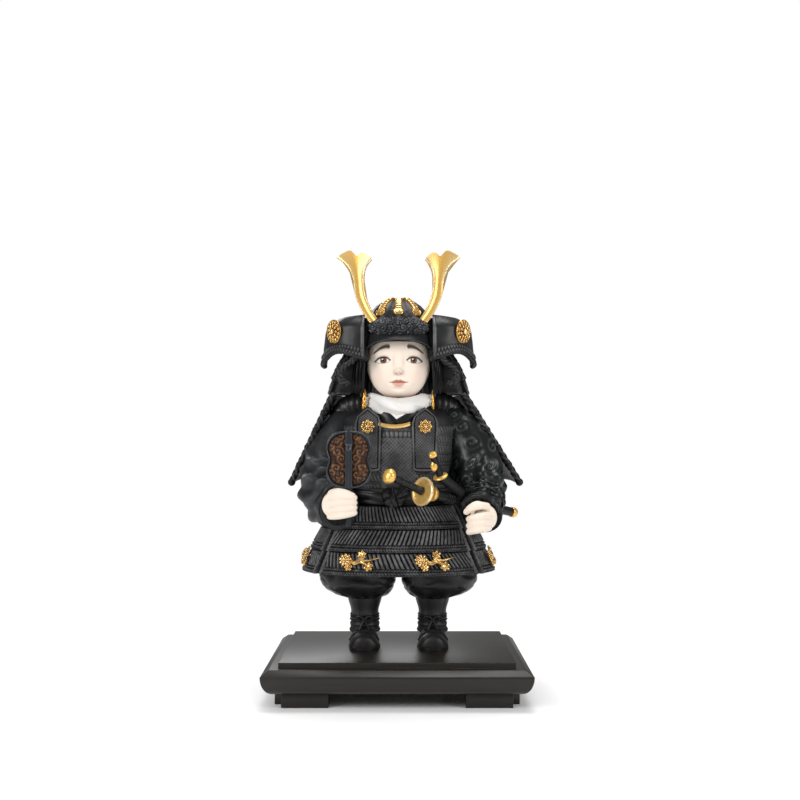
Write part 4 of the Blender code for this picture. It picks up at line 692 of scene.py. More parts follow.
# %% The trousers
def puff(bm, side):
    """One leg. Each row holds its height, its half sizes and its middle."""
    near, out = MIDDLE + side * STANCE, MIDDLE + side * 40.0
    y = TOE_Y + FOOT_LENGTH * 0.55
    rows = curve_through(((KNEE - 1, 16.0, 16.0, near), (KNEE + 3, 27.0, 23.5, (near + out) / 2),
                          (KNEE + 12, 36.4, 32.4, out), (KNEE + 27, 37.6, 32.6, out),
                          (KNEE + 60, 28.0, 34.0, MIDDLE + side * 28.0)), 14)
    last = len(rows) - 1

    def place(u, v):
        z, wide, deep, x = rows[round(v * last)]
        turn = 2 * math.pi * u
        sine, cosine = math.sin(turn), math.cos(turn)
        gather = max(0.0, 1 - 2.4 * v)
        fold = 1.3 * gather * math.cos(13 * turn + 2.0 * math.sin(turn * 2))
        fold += 0.9 * noise.noise(Vector((sine * 2.2, cosine * 2.2, v * 5 + side)))
        fold -= 2.4 * max(0.0, 0.3 - abs(noise.noise(Vector((sine * 2.6, cosine * 2.6, v * 6)))))
        return Vector((x + (wide + fold) * sine, y - (deep + fold) * cosine, z)), 0.6 + 0.4 * fold

    wrap(bm, 92, last, place)


trouser_bm = bmesh.new()
for side, label in SIDES:
    puff(trouser_bm, side)
hips = curve_through(((KNEE + 34, 40.0, 26.0), (KNEE + 48, 50.0, 33.0), (KNEE + 68, 55.5, 39.0),
                      (WAIST - 1.0, 53.5, 38.0)), 8)


def hip_place(u, v):
    z, wide, deep = hips[round(v * (len(hips) - 1))]
    return Vector((MIDDLE + wide * math.sin(2 * math.pi * u), -deep * math.cos(2 * math.pi * u), z)), 0.2


wrap(trouser_bm, 72, len(hips) - 1, hip_place)
adopt(keep(trouser_bm, "full_trousers", CLOTH, smooth=60), "cloth_black", "trousers")
print("knee at", round(KNEE, 1), "mm")

# %% [markdown]
# ## Laced boards
# The skirt, the neck guard and the shoulder guards are rows of small scales laced with braid. On the cast
# figure all of it is relief, so one formula makes it: slanted cords side by side, a herringbone braid
# near the foot of each row, and a lip below. `lacing` gives the height of that relief, and `stepped` sets
# each row a little over the next. On the skirt the cords lean the other way in every second row.


# %% Lacing relief
def cord_shape(phase):
    """The round section of cords that lie side by side: 0 in the grooves, 1 on top."""
    return (1 - (2 * (phase % 1.0) - 1) ** 2) ** 0.5


def loose_cord(phase, gap=0.2):
    """The same, with a flat gap between one cord and the next."""
    return max(0.0, 1 - ((2 * (phase % 1.0) - 1) / (1 - gap)) ** 2) ** 0.5


LIP = 0.93


def lacing(along, down, pitch, slant, braid=0.68):
    """The relief of one row: along is the distance in mm, down the share of the row from its top."""
    if down < braid:
        ends = min(1.0, down / 0.05) * min(1.0, (braid - down) / 0.04)
        return ends * loose_cord(along / pitch + slant * down)
    if down < LIP:
        lane = (down - braid) / (LIP - braid)
        half = lane * 2 % 1.0
        lean = 0.9 if lane < 0.5 else -0.9
        bead = loose_cord(along / (pitch * 0.62) + lean * half, 0.12)
        return (0.1 + 0.9 * bead) * (0.2 + 0.8 * math.sin(math.pi * half))
    return 0.25 + 0.3 * cord_shape(along / (pitch * 0.8))


def stepped(v, rows, slope, turn_in, drop):
    """The row at a share v of a board, the share down that row, and how far the row stands out there."""
    row = min(rows - 1, int(v * rows))
    down = v * rows - row
    step = min(1.0, down * slope) if down < turn_in else 1.0 - (down - turn_in) / (1 - turn_in) * drop
    return row, down, step


SKIRT_TOP_HALF = (66.0, 49.0)
SKIRT_HEM_HALF = (95.0, 64.0)
SKIRT_LENGTH = 66.0
SKIRT_ROWS = 3
SKIRT_STEP = 2.2
FRONT_ARC = 104.0
SIDE_ARC = 66.0
PANEL_SPACE = 5.0
LACE_DEPTH = 2.2
LACE_PITCH = 4.3
SLANT = 2.2
MEAN_RADIUS = 84.0
BORDER = 3.2


def skirt_point(angle, height, out):
    """A point at an angle from the front and a share of the height from the top."""
    grow = height ** 0.9
    wide, deep = (top + (hem - top) * grow for top, hem in zip(SKIRT_TOP_HALF, SKIRT_HEM_HALF))
    turn = math.radians(angle)
    return Vector((MIDDLE + (wide + out) * math.sin(turn), -(deep + out) * math.cos(turn),
                   SKIRT_TOP - SKIRT_LENGTH * height))


def make_skirt_panel(label, middle, arc, columns):
    bm = bmesh.new()

    def outer(u, v):
        angle = middle + arc * (u - 0.5)
        row, down, step = stepped(v, SKIRT_ROWS, 1.05, 0.965, 0.7)
        border = min(u, 1 - u) * math.radians(arc) * MEAN_RADIUS
        if border > BORDER:
            relief = lacing(math.radians(angle) * MEAN_RADIUS, down, LACE_PITCH, SLANT if row % 2 else -SLANT)
        else:
            relief = 0.5 + 0.7 * cord_shape((v * SKIRT_LENGTH + border * 1.2) / 3.4)
        uneven = 0.25 * noise.noise(Vector((angle * 0.35, v * 22, 1.7)))
        sway = 0.6 * noise.noise(Vector((angle * 0.05, v * 3, 4.2)))
        return (skirt_point(angle, v, SKIRT_STEP * step - 1.5 + LACE_DEPTH * relief + uneven + sway),
                max(0.0, min(1.0, 0.05 + 0.9 * relief + uneven)))

    def inner(u, v):
        shelf = -9.0 if v < 0.15 else -3.6
        return skirt_point(middle + arc * (u - 0.5), v, shelf), 0.1

    shell(bm, columns, 108, outer, inner, 6)
    return adopt(keep(bm, "laced_skirt_" + label, ARMOUR, smooth=70), "armour", "skirt_" + label)


side_turn = (FRONT_ARC + SIDE_ARC) / 2 + PANEL_SPACE
back_arc = 360 - FRONT_ARC - 2 * SIDE_ARC - 4 * PANEL_SPACE
PANELS = (("front", 0.0, FRONT_ARC, 290), ("right", side_turn, SIDE_ARC, 104),
          ("left", -side_turn, SIDE_ARC, 104), ("back", 180.0, back_arc, 180))
for panel in PANELS:
    make_skirt_panel(*panel)
print("skirt panels:", len(PANELS))

# %% [markdown]
# ## Gilt ribbons on the skirt
# Four gilt mounts lie on the lowest row, two in front and one on each outer side: a many-petalled flower,
# a looped ribbon that runs out to a thin tail, and three round curls. Petals and curls repeat, so one
# small shape is turned and copied in a loop.


# %% Gilt shapes
def petal_ring(bm, centre, radius, petals, size, lift, tilt=0.0):
    """Egg-shaped petals round a centre, lying in the x-z plane and facing -y."""
    for index in range(petals):
        turn = 2 * math.pi * index / petals + tilt
        made = bmesh.ops.create_icosphere(bm, subdivisions=2, radius=1.0)["verts"]
        ahead = Vector((math.sin(turn), 0, math.cos(turn)))
        beside = Vector((math.cos(turn), 0, -math.sin(turn)))
        for vert in made:
            across, rise, out = vert.co.x, vert.co.y, vert.co.z
            vert.co = (Vector(centre) + ahead * (radius + out * size[0]) + beside * across * size[1]
                       * (0.75 + 0.25 * out) + Vector((0, rise * size[2] - lift, 0)))


def coil(bm, centre, radius, turns, thick, start):
    """A flat spiral curl facing -y, thinning to its heart."""
    rows = []
    steps = int(18 * turns)
    for step in range(steps + 1):
        share = step / steps
        turn = start + 2 * math.pi * turns * share
        reach = radius * (1 - 0.85 * share)
        rows.append((centre[0] + reach * math.sin(turn), centre[1] - 0.8 * share,
                     centre[2] + reach * math.cos(turn), thick * (1 - 0.5 * share)))
    tube(bm, rows, 8)


def ball(bm, centre, radius, squash=1.0):
    """A ball, flattened from front to back."""
    for vert in bmesh.ops.create_icosphere(bm, subdivisions=2, radius=radius)["verts"]:
        vert.co = Vector((vert.co.x, vert.co.y * squash, vert.co.z)) + Vector(centre)


def disc(bm, radius, thick, segments, back):
    """A round plate in the x-z plane, its middle a little behind the origin."""
    made = bmesh.ops.create_cone(bm, cap_ends=True, segments=segments, radius1=radius, radius2=radius,
                                 depth=thick)["verts"]
    for vert in made:
        vert.co = Vector((vert.co.x, vert.co.z + back, vert.co.y))


def mark_ridges(bm):
    """Notes how far each vertex of a small ornament stands forward, as its relief."""
    layer = bm.verts.layers.float.get("ridge") or bm.verts.layers.float.new("ridge")
    depths = [-vert.co.y for vert in bm.verts]
    low, high = min(depths), max(depths)
    for vert, depth in zip(bm.verts, depths):
        vert[layer] = (depth - low) / (high - low)


def set_on(bm, spot, lean, turn):
    """Turns an ornament modelled at the origin and puts it on its spot, in degrees and mm."""
    matrix = (Matrix.Translation(spot) @ Matrix.Rotation(math.radians(turn), 4, "Z")
              @ Matrix.Rotation(math.radians(lean), 4, "X"))
    bmesh.ops.transform(bm, matrix=matrix, verts=bm.verts)


def make_ribbon(label, angle, *nodes):
    bm = bmesh.new()
    heart = (-12.5, -1.0, 0.8)
    petal_ring(bm, heart, 4.1, 9, (2.4, 1.9, 1.2), 0.4)
    petal_ring(bm, heart, 2.2, 6, (1.5, 1.2, 1.0), 1.6, 0.3)
    ball(bm, heart, 4.8, 0.25)
    ball(bm, (heart[0], heart[1] - 2.2, heart[2]), 1.3, 0.8)
    for centre, size, start in (((-9.2, -0.6, -5.8), 3.3, 0.4), ((3.0, -0.6, 6.0), 3.8, 2.2),
                                ((10.4, -0.6, -5.2), 4.0, 1.2)):
        petal_ring(bm, centre, size * 0.78, 6, (1.7, 1.7, 1.0), 0.2, start)
        coil(bm, (centre[0], centre[1] - 0.9, centre[2]), size * 0.62, 1.6, 0.9, start)
        ball(bm, centre, size * 0.85, 0.3)
        ball(bm, (centre[0], centre[1] - 1.4, centre[2]), 1.1, 0.8)
    strands = (((-8.0, 0, 1.8, 1.1), (-3.5, -1.4, -1.6, 1.4), (1.0, -1.6, 0.8, 1.4), (6.0, -0.8, 1.6, 1.1)),
               ((-8.0, 0, -0.6, 1.0), (-3.0, -1.0, -3.2, 1.1), (2.0, -1.4, -1.4, 1.3), (7.0, -1.0, -3.0, 1.0)),
               ((-1.0, -1.0, -1.0, 1.2), (1.4, -1.6, 2.8, 1.3), (3.2, -1.0, 6.0, 1.0)),
               ((3.0, -1.2, 0.2, 1.2), (10.0, -1.2, 0.6, 0.9), (15.0, -0.8, 2.0, 0.6), (20.0, 0.4, 3.6, 0.25)),
               ((4.0, -0.8, -0.8, 1.0), (8.0, -1.4, -2.6, 1.0), (10.6, -1.0, -5.0, 0.9)))
    for strand in strands:
        tube(bm, curve_through(strand, 8), 8)
    mark_ridges(bm)
    spot = skirt_point(angle, 1 - 14.5 / SKIRT_LENGTH, SKIRT_STEP * 0.9 + 0.9)
    set_on(bm, spot, -20, angle * (0.55 if abs(angle) < 45 else 0.97))
    return adopt(keep(bm, "gilt_ribbon_" + label, GILT, merge=False), "gilt", *nodes)


make_ribbon("left", math.degrees(math.asin(-39.5 / SKIRT_HEM_HALF[0])), "skirt_ribbon_left")
make_ribbon("right", math.degrees(math.asin(34.5 / SKIRT_HEM_HALF[0])), "skirt_ribbon_right")
make_ribbon("outer_left", -82.0)
make_ribbon("outer_right", 82.0)
print("ribbons: 4")

# %% [markdown]
# ## Body armour, sash and collar
# The breast is a lattice of crossed lacing with two rows of small scrolls under the neckline. The sides
# are level rows. The relief is written for the front and fades to plain rows behind the arms. Over it lie
# a dark cloth yoke on the shoulders, which runs down the flanks under the arms, and a gilt neckline.

# %% The body armour
CHEST_HALF = (59.0, 43.0)
BAND_TURN, BAND_WIDE, BAND_SAG = 14.5, 3.6, 2.6


BODY_LOW = WAIST + 0.3
BODY_TALL = NECK - BODY_LOW
BODY_ROWS = curve_through((
    (BODY_LOW, 52.0, 39.0, 0.0), (BODY_LOW + BODY_TALL * 0.28, 53.0, 40.2, -1.0),
    (BODY_LOW + BODY_TALL * 0.55, 57.2, 43.0, -1.0), (BODY_LOW + BODY_TALL * 0.78, 59.0, 40.4, -1.0),
    (BODY_LOW + BODY_TALL * 0.9, 50.7, 34.4, -2.0), (NECK - 0.2, 26.0, 26.0, -4.5)), 32)


def lattice(x, z):
    """Crossed cords: two families of slanting ridges that pass over each other."""
    first = cord_shape((x + z) / 3.6)
    second = cord_shape((x - z) / 3.6)
    return max(first, second) * 0.75 + 0.25 * first * second


def make_body():
    bm = bmesh.new()
    last = len(BODY_ROWS) - 1

    def place(u, v):
        z, wide, deep, y = BODY_ROWS[round(v * last)]
        turn = 2 * math.pi * u
        turn -= 0.5 * math.sin(turn)
        x = wide * math.sin(turn)
        front = math.cos(turn)
        height = z - WAIST
        if front > 0 and abs(x) < 17 and height < 72:
            relief = lattice(x, z)
            scrolls = (height - 65) / 3.4
            if abs(scrolls) < 1:
                relief = 0.3 + 0.7 * abs(math.sin(x * 0.75)) * (1 - scrolls ** 2) ** 0.5
        elif height < 74:
            relief = 0.3 + 0.6 * lacing(turn * 50, (height / 9.5) % 1.0, 3.6, 1.2)
        else:
            relief = 0.3 + 0.12 * noise.noise(Vector((x * 0.2, z * 0.2, front * 3)))
        out = 1.5 * relief - 0.9
        return Vector((MIDDLE + x + out * math.sin(turn), y - (deep + out) * front, z)), relief

    wrap(bm, 220, last, place)
    return adopt(keep(bm, "laced_body", ARMOUR, smooth=70), "armour", "body_armour")


make_body()


def band_face(stand_off):
    """A face round the upper breast, between the chest boards."""
    def place(u, v):
        turn = math.radians(BAND_TURN * (2 * u - 1) - 4)
        dip = BAND_SAG * (1 - (2 * u - 1) ** 2)
        round_over = 0.8 * math.sin(math.pi * v)
        return Vector((MIDDLE + (CHEST_HALF[0] + stand_off) * math.sin(turn),
                       -1 - (CHEST_HALF[1] + stand_off + round_over) * math.cos(turn),
                       WAIST + 77.0 - dip - BAND_WIDE * v)), v
    return place


def add_yoke(bm, side):
    """One side of the yoke: a roll over the shoulder, and a flank under the arm."""
    roll = ((14, 4, NECK - 6, 13.0), (34, 3, NECK - 3.0, 14.0), (50, 5, NECK - 7, 13.5), (62, 7, NECK - 18, 11.0))
    flank = ((54, 6, NECK - 12, 11.0), (56, 5, WAIST + 32, 10.0), (57, 4, WAIST + 6, 9.0))
    for rows, sides, relief in (
            (roll, 28, lambda u, v: 0.5 * math.sin(60 * v + 3 * math.sin(2 * math.pi * u))),
            (flank, 24, lambda u, v: 0.6 * math.sin(10 * math.pi * u + 4 * v))):
        tube(bm, curve_through([(MIDDLE + side * out, *rest) for out, *rest in rows], 10), sides, relief)


yoke_bm = bmesh.new()
for side, label in SIDES:
    add_yoke(yoke_bm, side)
adopt(keep(yoke_bm, "shoulder_yoke", CLOTH, smooth=60, merge=False), "cloth_black")

neckline_bm = bmesh.new()
shell(neckline_bm, 40, 8, band_face(2.4), band_face(-2.0), 1)
adopt(keep(neckline_bm, "gilt_neckline", SATIN_GILT), "gilt", "neck_band")
print("body rows:", len(BODY_ROWS))


# %% Collar above the neckline
def make_collar(name, finish, slot, rows, width, thick):
    """A folded collar strip that lies along a path, each row holding x, y and z."""
    bm = bmesh.new()
    path = [Vector(row) for row in curve_through(rows, 10)]
    last = len(path) - 1

    def face(lift):
        def place(u, v):
            index = round(u * last)
            ahead = path[min(index + 1, last)] - path[max(index - 1, 0)]
            down = ahead.normalized().cross(Vector((0, -1, 0)))
            bulge = 0.9 * math.sin(math.pi * v) if lift > 0 else 0
            return path[index] + down * width * (v - 0.5) + Vector((0, -lift - bulge, 0)), 0.5 * v
        return place

    shell(bm, last, 8, face(thick), face(-2.0), 1)
    return adopt(keep(bm, name, finish), slot)


collar_y = -36.0
for side, label in SIDES:
    flap = [(MIDDLE + side * 20, collar_y + 3, NECK - 11), (MIDDLE + side * 11, collar_y - 2, NECK - 15),
            (MIDDLE + side * 1.5 - 2.5, collar_y - 4.5, NECK - 22)]
    make_collar("grey_collar_" + label, PLAIN_ARMOUR, "armour", flap, 9.0, 2.2)
    lining = [(MIDDLE + side * 14, collar_y + 2, NECK - 10), (MIDDLE + side * 7, collar_y - 2.5, NECK - 13),
              (MIDDLE + side * 0.5 - 2.5, collar_y - 3.8, NECK - 17.5)]
    make_collar("white_collar_" + label, LINEN, "linen", lining, 6.0, 1.2)
print("collars: 4")

# %% [markdown]
# The sash is wound cloth: three soft wraps that wander a little as they go round, and a flat knot.

# %% Sash and knot
def span(node, low, high):
    """Half the size of a node's box between two of its sides, and the middle between them."""
    return (edge(node, high) - edge(node, low)) / 2, (edge(node, high) + edge(node, low)) / 2


SASH_HALF = span("sash", "left", "right")[0]
SASH_DEEP = span("sash", "front", "back")[0]
SASH_MID = span("sash", "bottom", "top")[1]


def make_sash():
    bm = bmesh.new()

    def place(u, v):
        turn, roll = 2 * math.pi * u, 2 * math.pi * v
        out = math.cos(roll)
        climb = math.asin(max(-1, min(1, math.sin(roll))))
        wraps = 0.8 * math.cos(3.2 * climb * 2 + 1.3 * math.sin(2 * turn))
        crease = 0.5 * noise.noise(Vector((math.sin(turn) * 5, math.cos(turn) * 5, math.sin(roll) * 3)))
        reach = (1.6 * out + (wraps + crease if out > 0 else 0))
        return Vector((MIDDLE + (SASH_HALF - 2.6 + reach) * math.sin(turn),
                       -(SASH_DEEP - 2.6 + reach) * math.cos(turn),
                       SASH_MID + 8.4 * math.sin(roll) - 1.5 * math.cos(turn))), 0.45 + 0.35 * wraps

    lay(bm, 160, 40, place)
    close(bm)
    return adopt(keep(bm, "wound_sash", CLOTH, smooth=60), "cloth_black", "sash")


def make_knot():
    bm = bmesh.new()
    x, y, z = MIDDLE - 3.7, edge("sash_knot", "front") + 3.4, edge("sash_knot", "bottom") + 11.5
    outline = curve_through(((-0.5, 0.3), (-0.3, 0.48), (0.05, 0.44), (0.36, 0.5), (0.5, 0.3), (0.42, -0.1),
                             (0.14, -0.42), (-0.1, -0.5), (-0.34, -0.3), (-0.48, 0.0), (-0.5, 0.3)), 6)
    last = len(outline) - 1

    def place(u, v):
        a, b = outline[round(u * last)]
        dome = math.sin(v * math.pi / 2)
        shrink = math.cos(v * math.pi / 2) ** 0.6
        folds = 0.7 * math.sin(7 * math.atan2(b, a) + 4 * v) * math.sin(math.pi * v)
        spot = Vector((x + a * 25 * shrink, y + 4.0 - 5.6 * dome - folds,
                       z + b * 23 * shrink + 1.5 * (1 - shrink)))
        return spot, 0.4 + 0.4 * folds

    lay(bm, last, 20, place)
    close(bm)
    wing = ((7, -0.5, 4, 3.0), (11, 0.2, 7.5, 4.2), (12.5, 1.6, 9.5, 2.2))
    band = ((-3, 1, 10.5, 2.2), (-2.0, -2.4, 3, 3.0), (1, -1.8, -5, 2.6), (1, 2, -10, 1.8))
    for rows, relief in ((wing, None), (band, lambda u, v: 0.25 * math.sin(10 * math.pi * u))):
        path = [(x + over, y + back, z + up, radius) for over, back, up, radius in rows]
        tube(bm, curve_through(path, 8), 20, relief)
    return adopt(keep(bm, "sash_bow", CLOTH, smooth=60), "cloth_black", "sash_knot")


make_sash()
make_knot()
print("sash half width", round(SASH_HALF, 1), "mm")

# %% [markdown]
# Two boards hang in front of the armpits. Each has a pointed head, a rounded foot, a raised rim and a
# field of crossed lacing, and carries a small gilt flower.

# %% Chest boards and flowers
BOARD_HALF = 13.2
BOARD_LENGTH = 62.0
BOARD_PEAK = 9.0


def board_outline(u, v):
    """A place on the board: a pointed head, sides that draw in a little, and a rounded foot."""
    across = 2 * u - 1
    half = BOARD_HALF * (0.8 + 0.2 * min(1.0, v / 0.14)) * (1 - 0.12 * max(0.0, (v - 0.2) / 0.8))
    top = -BOARD_PEAK * abs(across) ** 1.1
    foot = -BOARD_LENGTH + 4.5 * (1 - (1 - min(1.0, abs(across)) ** 3) ** (1 / 3))
    return half * across, top + (foot - top) * v


def make_chest_board(side, label):
    bm = bmesh.new()
    rim, groove = 2.3, 3.1

    def outer(u, v):
        x, z = board_outline(u, v)
        border = min(min(u, 1 - u) * 2 * BOARD_HALF * 0.92, v * 56, (1 - v) * 56)
        if border < rim:
            relief = 0.55 + 0.45 * math.sin(math.pi * border / rim)
        elif border < groove:
            relief = 0.1
        else:
            relief = 0.05 + 0.8 * lattice(x * 1.2, z * 1.2)
        return Vector((x, -1.5 * relief, z)), relief

    def inner(u, v):
        x, z = board_outline(u, v)
        return Vector((x, 5.0, z)), 0.1

    shell(bm, 64, 150, outer, inner, 4)
    set_on(bm, Vector((MIDDLE + side * 27.5 - 2.0, -42.6, NECK - 6.0)), 3, side * 10)
    return adopt(keep(bm, "hanging_board_" + label, ARMOUR, smooth=60), "armour", "chest_board_" + label)


def make_chest_flower(side, label):
    bm = bmesh.new()
    middle = (0, 0, 0)
    petal_ring(bm, middle, 4.6, 8, (2.4, 2.0, 1.1), 0.2)
    petal_ring(bm, middle, 4.4, 8, (1.5, 0.9, 0.8), 1.2, math.pi / 8)
    petal_ring(bm, middle, 2.1, 6, (1.3, 1.0, 0.9), 1.4, 0.3)
    ball(bm, (0, -2.2, 0), 1.5, 0.7)
    disc(bm, 5.4, 1.6, 32, 0.2)
    mark_ridges(bm)
    node = "chest_flower_" + label
    set_on(bm, Vector((MIDDLE + side * 27.8 - 2.0, edge(node, "front") + 3.1, NECK - 24.5)), 3, side * 10)
    return adopt(keep(bm, "gilt_flower_" + label, GILT, merge=False), "gilt", node)


for side, label in SIDES:
    make_chest_board(side, label)
    make_chest_flower(side, label)
print("chest boards and flowers: 4")

# %% [markdown]
# ## Head and face
# The head is smooth porcelain, full in the cheeks, with a small nose and mouth. The grid is closer in
# front, so that the painted eyes, brows and lips can be laid on its vertices as colours with soft edges.
# Each feature is a low bump or hollow with a bell-shaped section.

# %% The face
HEAD_HALF = 31.75
HEAD_DEEP = 33.0
HEAD_Y = -9.0
HEAD_TALL = 82.0
EYE_X, EYE_Z, EYE_HALF = 15.4, 37.7, 6.7
MOUTH_Z, LIP_HALF = 16.75, 8.6
PORCELAIN = (0.84, 0.725, 0.62)
# Each bump is its place, x and z, its half sizes and its height. Those at a side are mirrored.
MIDDLE_BUMPS = ((0.0, 33.0, 2.6, 6.5, 1.2), (0.0, 28.0, 3.0, 2.5, 3.9), (0.0, 21.6, 1.0, 1.7, -0.5),
                (0.0, 14.3, 4.0, 1.5, 2.2), (0.0, MOUTH_Z, 6.4, 0.42, -0.75), (0.0, 10.9, 5.0, 1.5, -1.1),
                (0.0, 5.6, 7.0, 4.0, 2.2), (0.0, 52.0, 20.0, 9.0, 0.8))
SIDE_BUMPS = ((3.5, 26.8, 1.7, 1.7, 1.9), (2.0, 25.1, 0.9, 0.6, -0.8), (2.3, 18.6, 2.8, 1.1, 1.5),
              (8.6, 16.6, 1.6, 1.6, -0.8), (17.0, 19.0, 8.5, 8.5, 3.0), (15.4, 38.0, 7.4, 4.4, -1.5),
              (15.4, 37.8, 4.6, 2.7, 1.1))
BUMPS = MIDDLE_BUMPS + tuple((side * x, *rest) for x, *rest in SIDE_BUMPS for side in (-1, 1))


def soft(value, middle, width):
    """0 below the middle, 1 above it, with a smooth step of that width between."""
    share = min(1.0, max(0.0, (value - middle) / width + 0.5))
    return share * share * (3 - 2 * share)


def blend_in(colour, paint, share):
    return tuple(old + (new - old) * max(0.0, min(1.0, share)) for old, new in zip(colour, paint))


def lid(t, upper):
    """Height of an eyelid above the middle of the eye, t from -1 at the nose to 1 at the temple."""
    arch = max(0.0, 1 - abs(t) ** 2.2)
    return (3.3 if upper else -2.4) * arch ** 0.75 + 0.5 * (-t if upper else -t * 0.4)


def bell(x, z, wide, tall):
    """An oval spot with soft edges: 1 in its middle, falling to 0."""
    return math.exp(-(x / wide) ** 2 - (z / tall) ** 2)


def lay_spots(colour, x, z, spots):
    """Soft spots of paint, each the same on both sides of the face."""
    for paint, share, spot_x, wide, spot_z, tall in spots:
        colour = blend_in(colour, paint, share * bell(abs(x) - spot_x, z - spot_z, wide, tall))
    return colour


def paint_eye(colour, x, z):
    """White, iris, pupil and glint inside the lids, with painted shade on the white under the upper lid, then
    lashes and creases along them.
    """
    side = -1 if x < 0 else 1
    t = (abs(x) - EYE_X) / EYE_HALF
    rise = z - EYE_Z
    upper, lower = lid(max(-1, min(1, t)), True), lid(max(-1, min(1, t)), False)
    inside = soft(upper - rise, 0, 0.35) * soft(rise - lower, 0, 0.35) * soft(1.0 - abs(t), 0.02, 0.06)
    iris_x, iris_z = side * (EYE_X - 0.7), EYE_Z + 0.5
    reach = math.hypot(x - iris_x, z - iris_z)
    glint = math.hypot(x - iris_x + 1.0, z - iris_z - 1.1)
    eye = (0.80, 0.76, 0.72)
    # The first paint is painted shade: the white greys under the upper lid.
    for paint, share in (
            ((0.42, 0.37, 0.34), 0.8 * soft(rise, upper - 1.0, 1.6)),
            ((0.035, 0.012, 0.005), soft(3.25 - reach, 0, 0.4)),
            ((0.21, 0.085, 0.03), soft(2.75 - reach, 0, 0.5) * (0.75 - 0.3 * soft(z, iris_z, 3))),
            ((0.008, 0.005, 0.004), soft(1.35 - reach, 0, 0.35)),
            ((0.9, 0.88, 0.86), soft(0.62 - glint, 0, 0.3))):
        eye = blend_in(eye, paint, share)
    lash = math.exp(-((rise - upper - 0.25) / (0.95 + 0.25 * max(0.0, t))) ** 4) * soft(1.16 - abs(t), 0, 0.12)
    under = math.exp(-((rise - lower + 0.1) / 0.36) ** 2) * soft(1.0 - abs(t), 0, 0.1)
    crease = math.exp(-((rise - upper - 1.7) / 0.32) ** 2) * soft(0.95 - abs(t), 0, 0.3)
    corner = math.exp(-((rise - 0.2 + 0.5 * (t - 1)) / 0.35) ** 2) * soft(t, 0.96, 0.1) * soft(1.22 - t, 0, 0.2)
    for paint, share in ((eye, inside), ((0.012, 0.007, 0.005), 0.98 * lash), ((0.20, 0.10, 0.07), 0.7 * under),
                         ((0.45, 0.29, 0.22), 0.55 * crease), ((0.04, 0.02, 0.015), 0.8 * corner)):
        colour = blend_in(colour, paint, share)
    return colour


def paint_brow(colour, x, z, along):
    """A brow that thins and falls towards the temple."""
    line = 51.2 - 5.3 * max(0.0, along) ** 1.35 + 1.3 * math.sin(math.pi * min(1, max(0, along)))
    thick = 2.2 * (1 - 0.62 * max(0, along)) * soft(along, -0.02, 0.1) * soft(1.05 - along, 0, 0.2)
    if thick <= 0.02:
        return colour
    hairs = 0.93 + 0.07 * math.sin(abs(x) * 5 + z * 2)
    return blend_in(colour, (0.010, 0.006, 0.005), hairs * math.exp(-((z - line) / (thick + 0.25)) ** 4))


def paint_lips(colour, x, z):
    """A darker upper lip with two peaks, a fuller lower lip and the line between them."""
    share = abs(x) / LIP_HALF
    peaks = 0.4 * math.exp(-((abs(x) - 2.2) / 1.2) ** 2) - 0.35 * math.exp(-(x / 1.0) ** 2)
    top = MOUTH_Z + 2.7 * max(0.0, 1 - share ** 1.4) + peaks
    low = MOUTH_Z - 3.9 * max(0.0, 1 - (share / 0.8) ** 2.2) ** 0.8
    upper_lip = soft(top - z, 0, 0.6) * soft(z - 16.7, 0, 0.3) * soft(1 - share, 0, 0.2)
    lower_lip = soft(16.8 - z, 0, 0.3) * soft(z - low, 0, 0.9) * soft(1 - share, 0.05, 0.3)
    line = math.exp(-((z - MOUTH_Z) / 0.33) ** 2) * soft(1.05 - share, 0, 0.2)
    for paint, amount in (((0.46, 0.17, 0.13), 0.9 * upper_lip), ((0.66, 0.30, 0.23), 0.8 * lower_lip),
                          ((0.20, 0.07, 0.05), 0.85 * line)):
        colour = blend_in(colour, paint, amount)
    return colour


# Each spot is its paint and share, then its place and half size across and up. The blush lies on the cheeks and
# the nose tip, and its last spot is painted shade on the upper lids under the brows. SHADING is painted shade
# round the nose and under the lower lip.
BLUSH_AND_LID_SHADE = (((0.84, 0.55, 0.46), 0.34, 18, 7.5, 23, 6.5), ((0.78, 0.56, 0.46), 0.3, 0, 4.5, 26.4, 2.2),
         ((0.62, 0.46, 0.38), 0.42, EYE_X, 7.0, EYE_Z + 3.6, 2.6))
SHADING = (((0.15, 0.06, 0.04), 0.95, 2.1, 0.85, 25.0, 0.55), ((0.48, 0.30, 0.23), 0.62, 0, 3.8, 24.0, 1.1),
           ((0.50, 0.32, 0.25), 0.55, 4.2, 1.1, 26.6, 2.0), ((0.58, 0.41, 0.32), 0.38, 4.6, 1.6, 36.0, 6.0),
           ((0.62, 0.44, 0.36), 0.35, 0, 5.0, 11.6, 1.3))
SHADE = (0.60, 0.44, 0.35)


def paint_face(x, z):
    """The colours at a place on the face, in mm from its middle and from the chin: the painter's blush, eyes,
    brows and lips, with painted shade towards the sides, under the chin, on the upper lids and round the nose.
    """
    colour = lay_spots(PORCELAIN, x, z, BLUSH_AND_LID_SHADE)
    # Painted shade towards the sides of the face and under the chin.
    colour = blend_in(colour, SHADE, 0.4 * soft(abs(x), 29.0, 7.0))
    colour = blend_in(colour, SHADE, 0.35 * soft(8.0 - z, 0.0, 6.0))
    if abs(abs(x) - EYE_X) / EYE_HALF < 1.25:
        colour = paint_eye(colour, x, z)
    along = (abs(x) - 8.9) / 14.4
    if -0.08 < along < 1.08:
        colour = paint_brow(colour, x, z, along)
    if abs(x) < LIP_HALF + 1:
        colour = paint_lips(colour, x, z)
    return lay_spots(colour, x, z, SHADING)


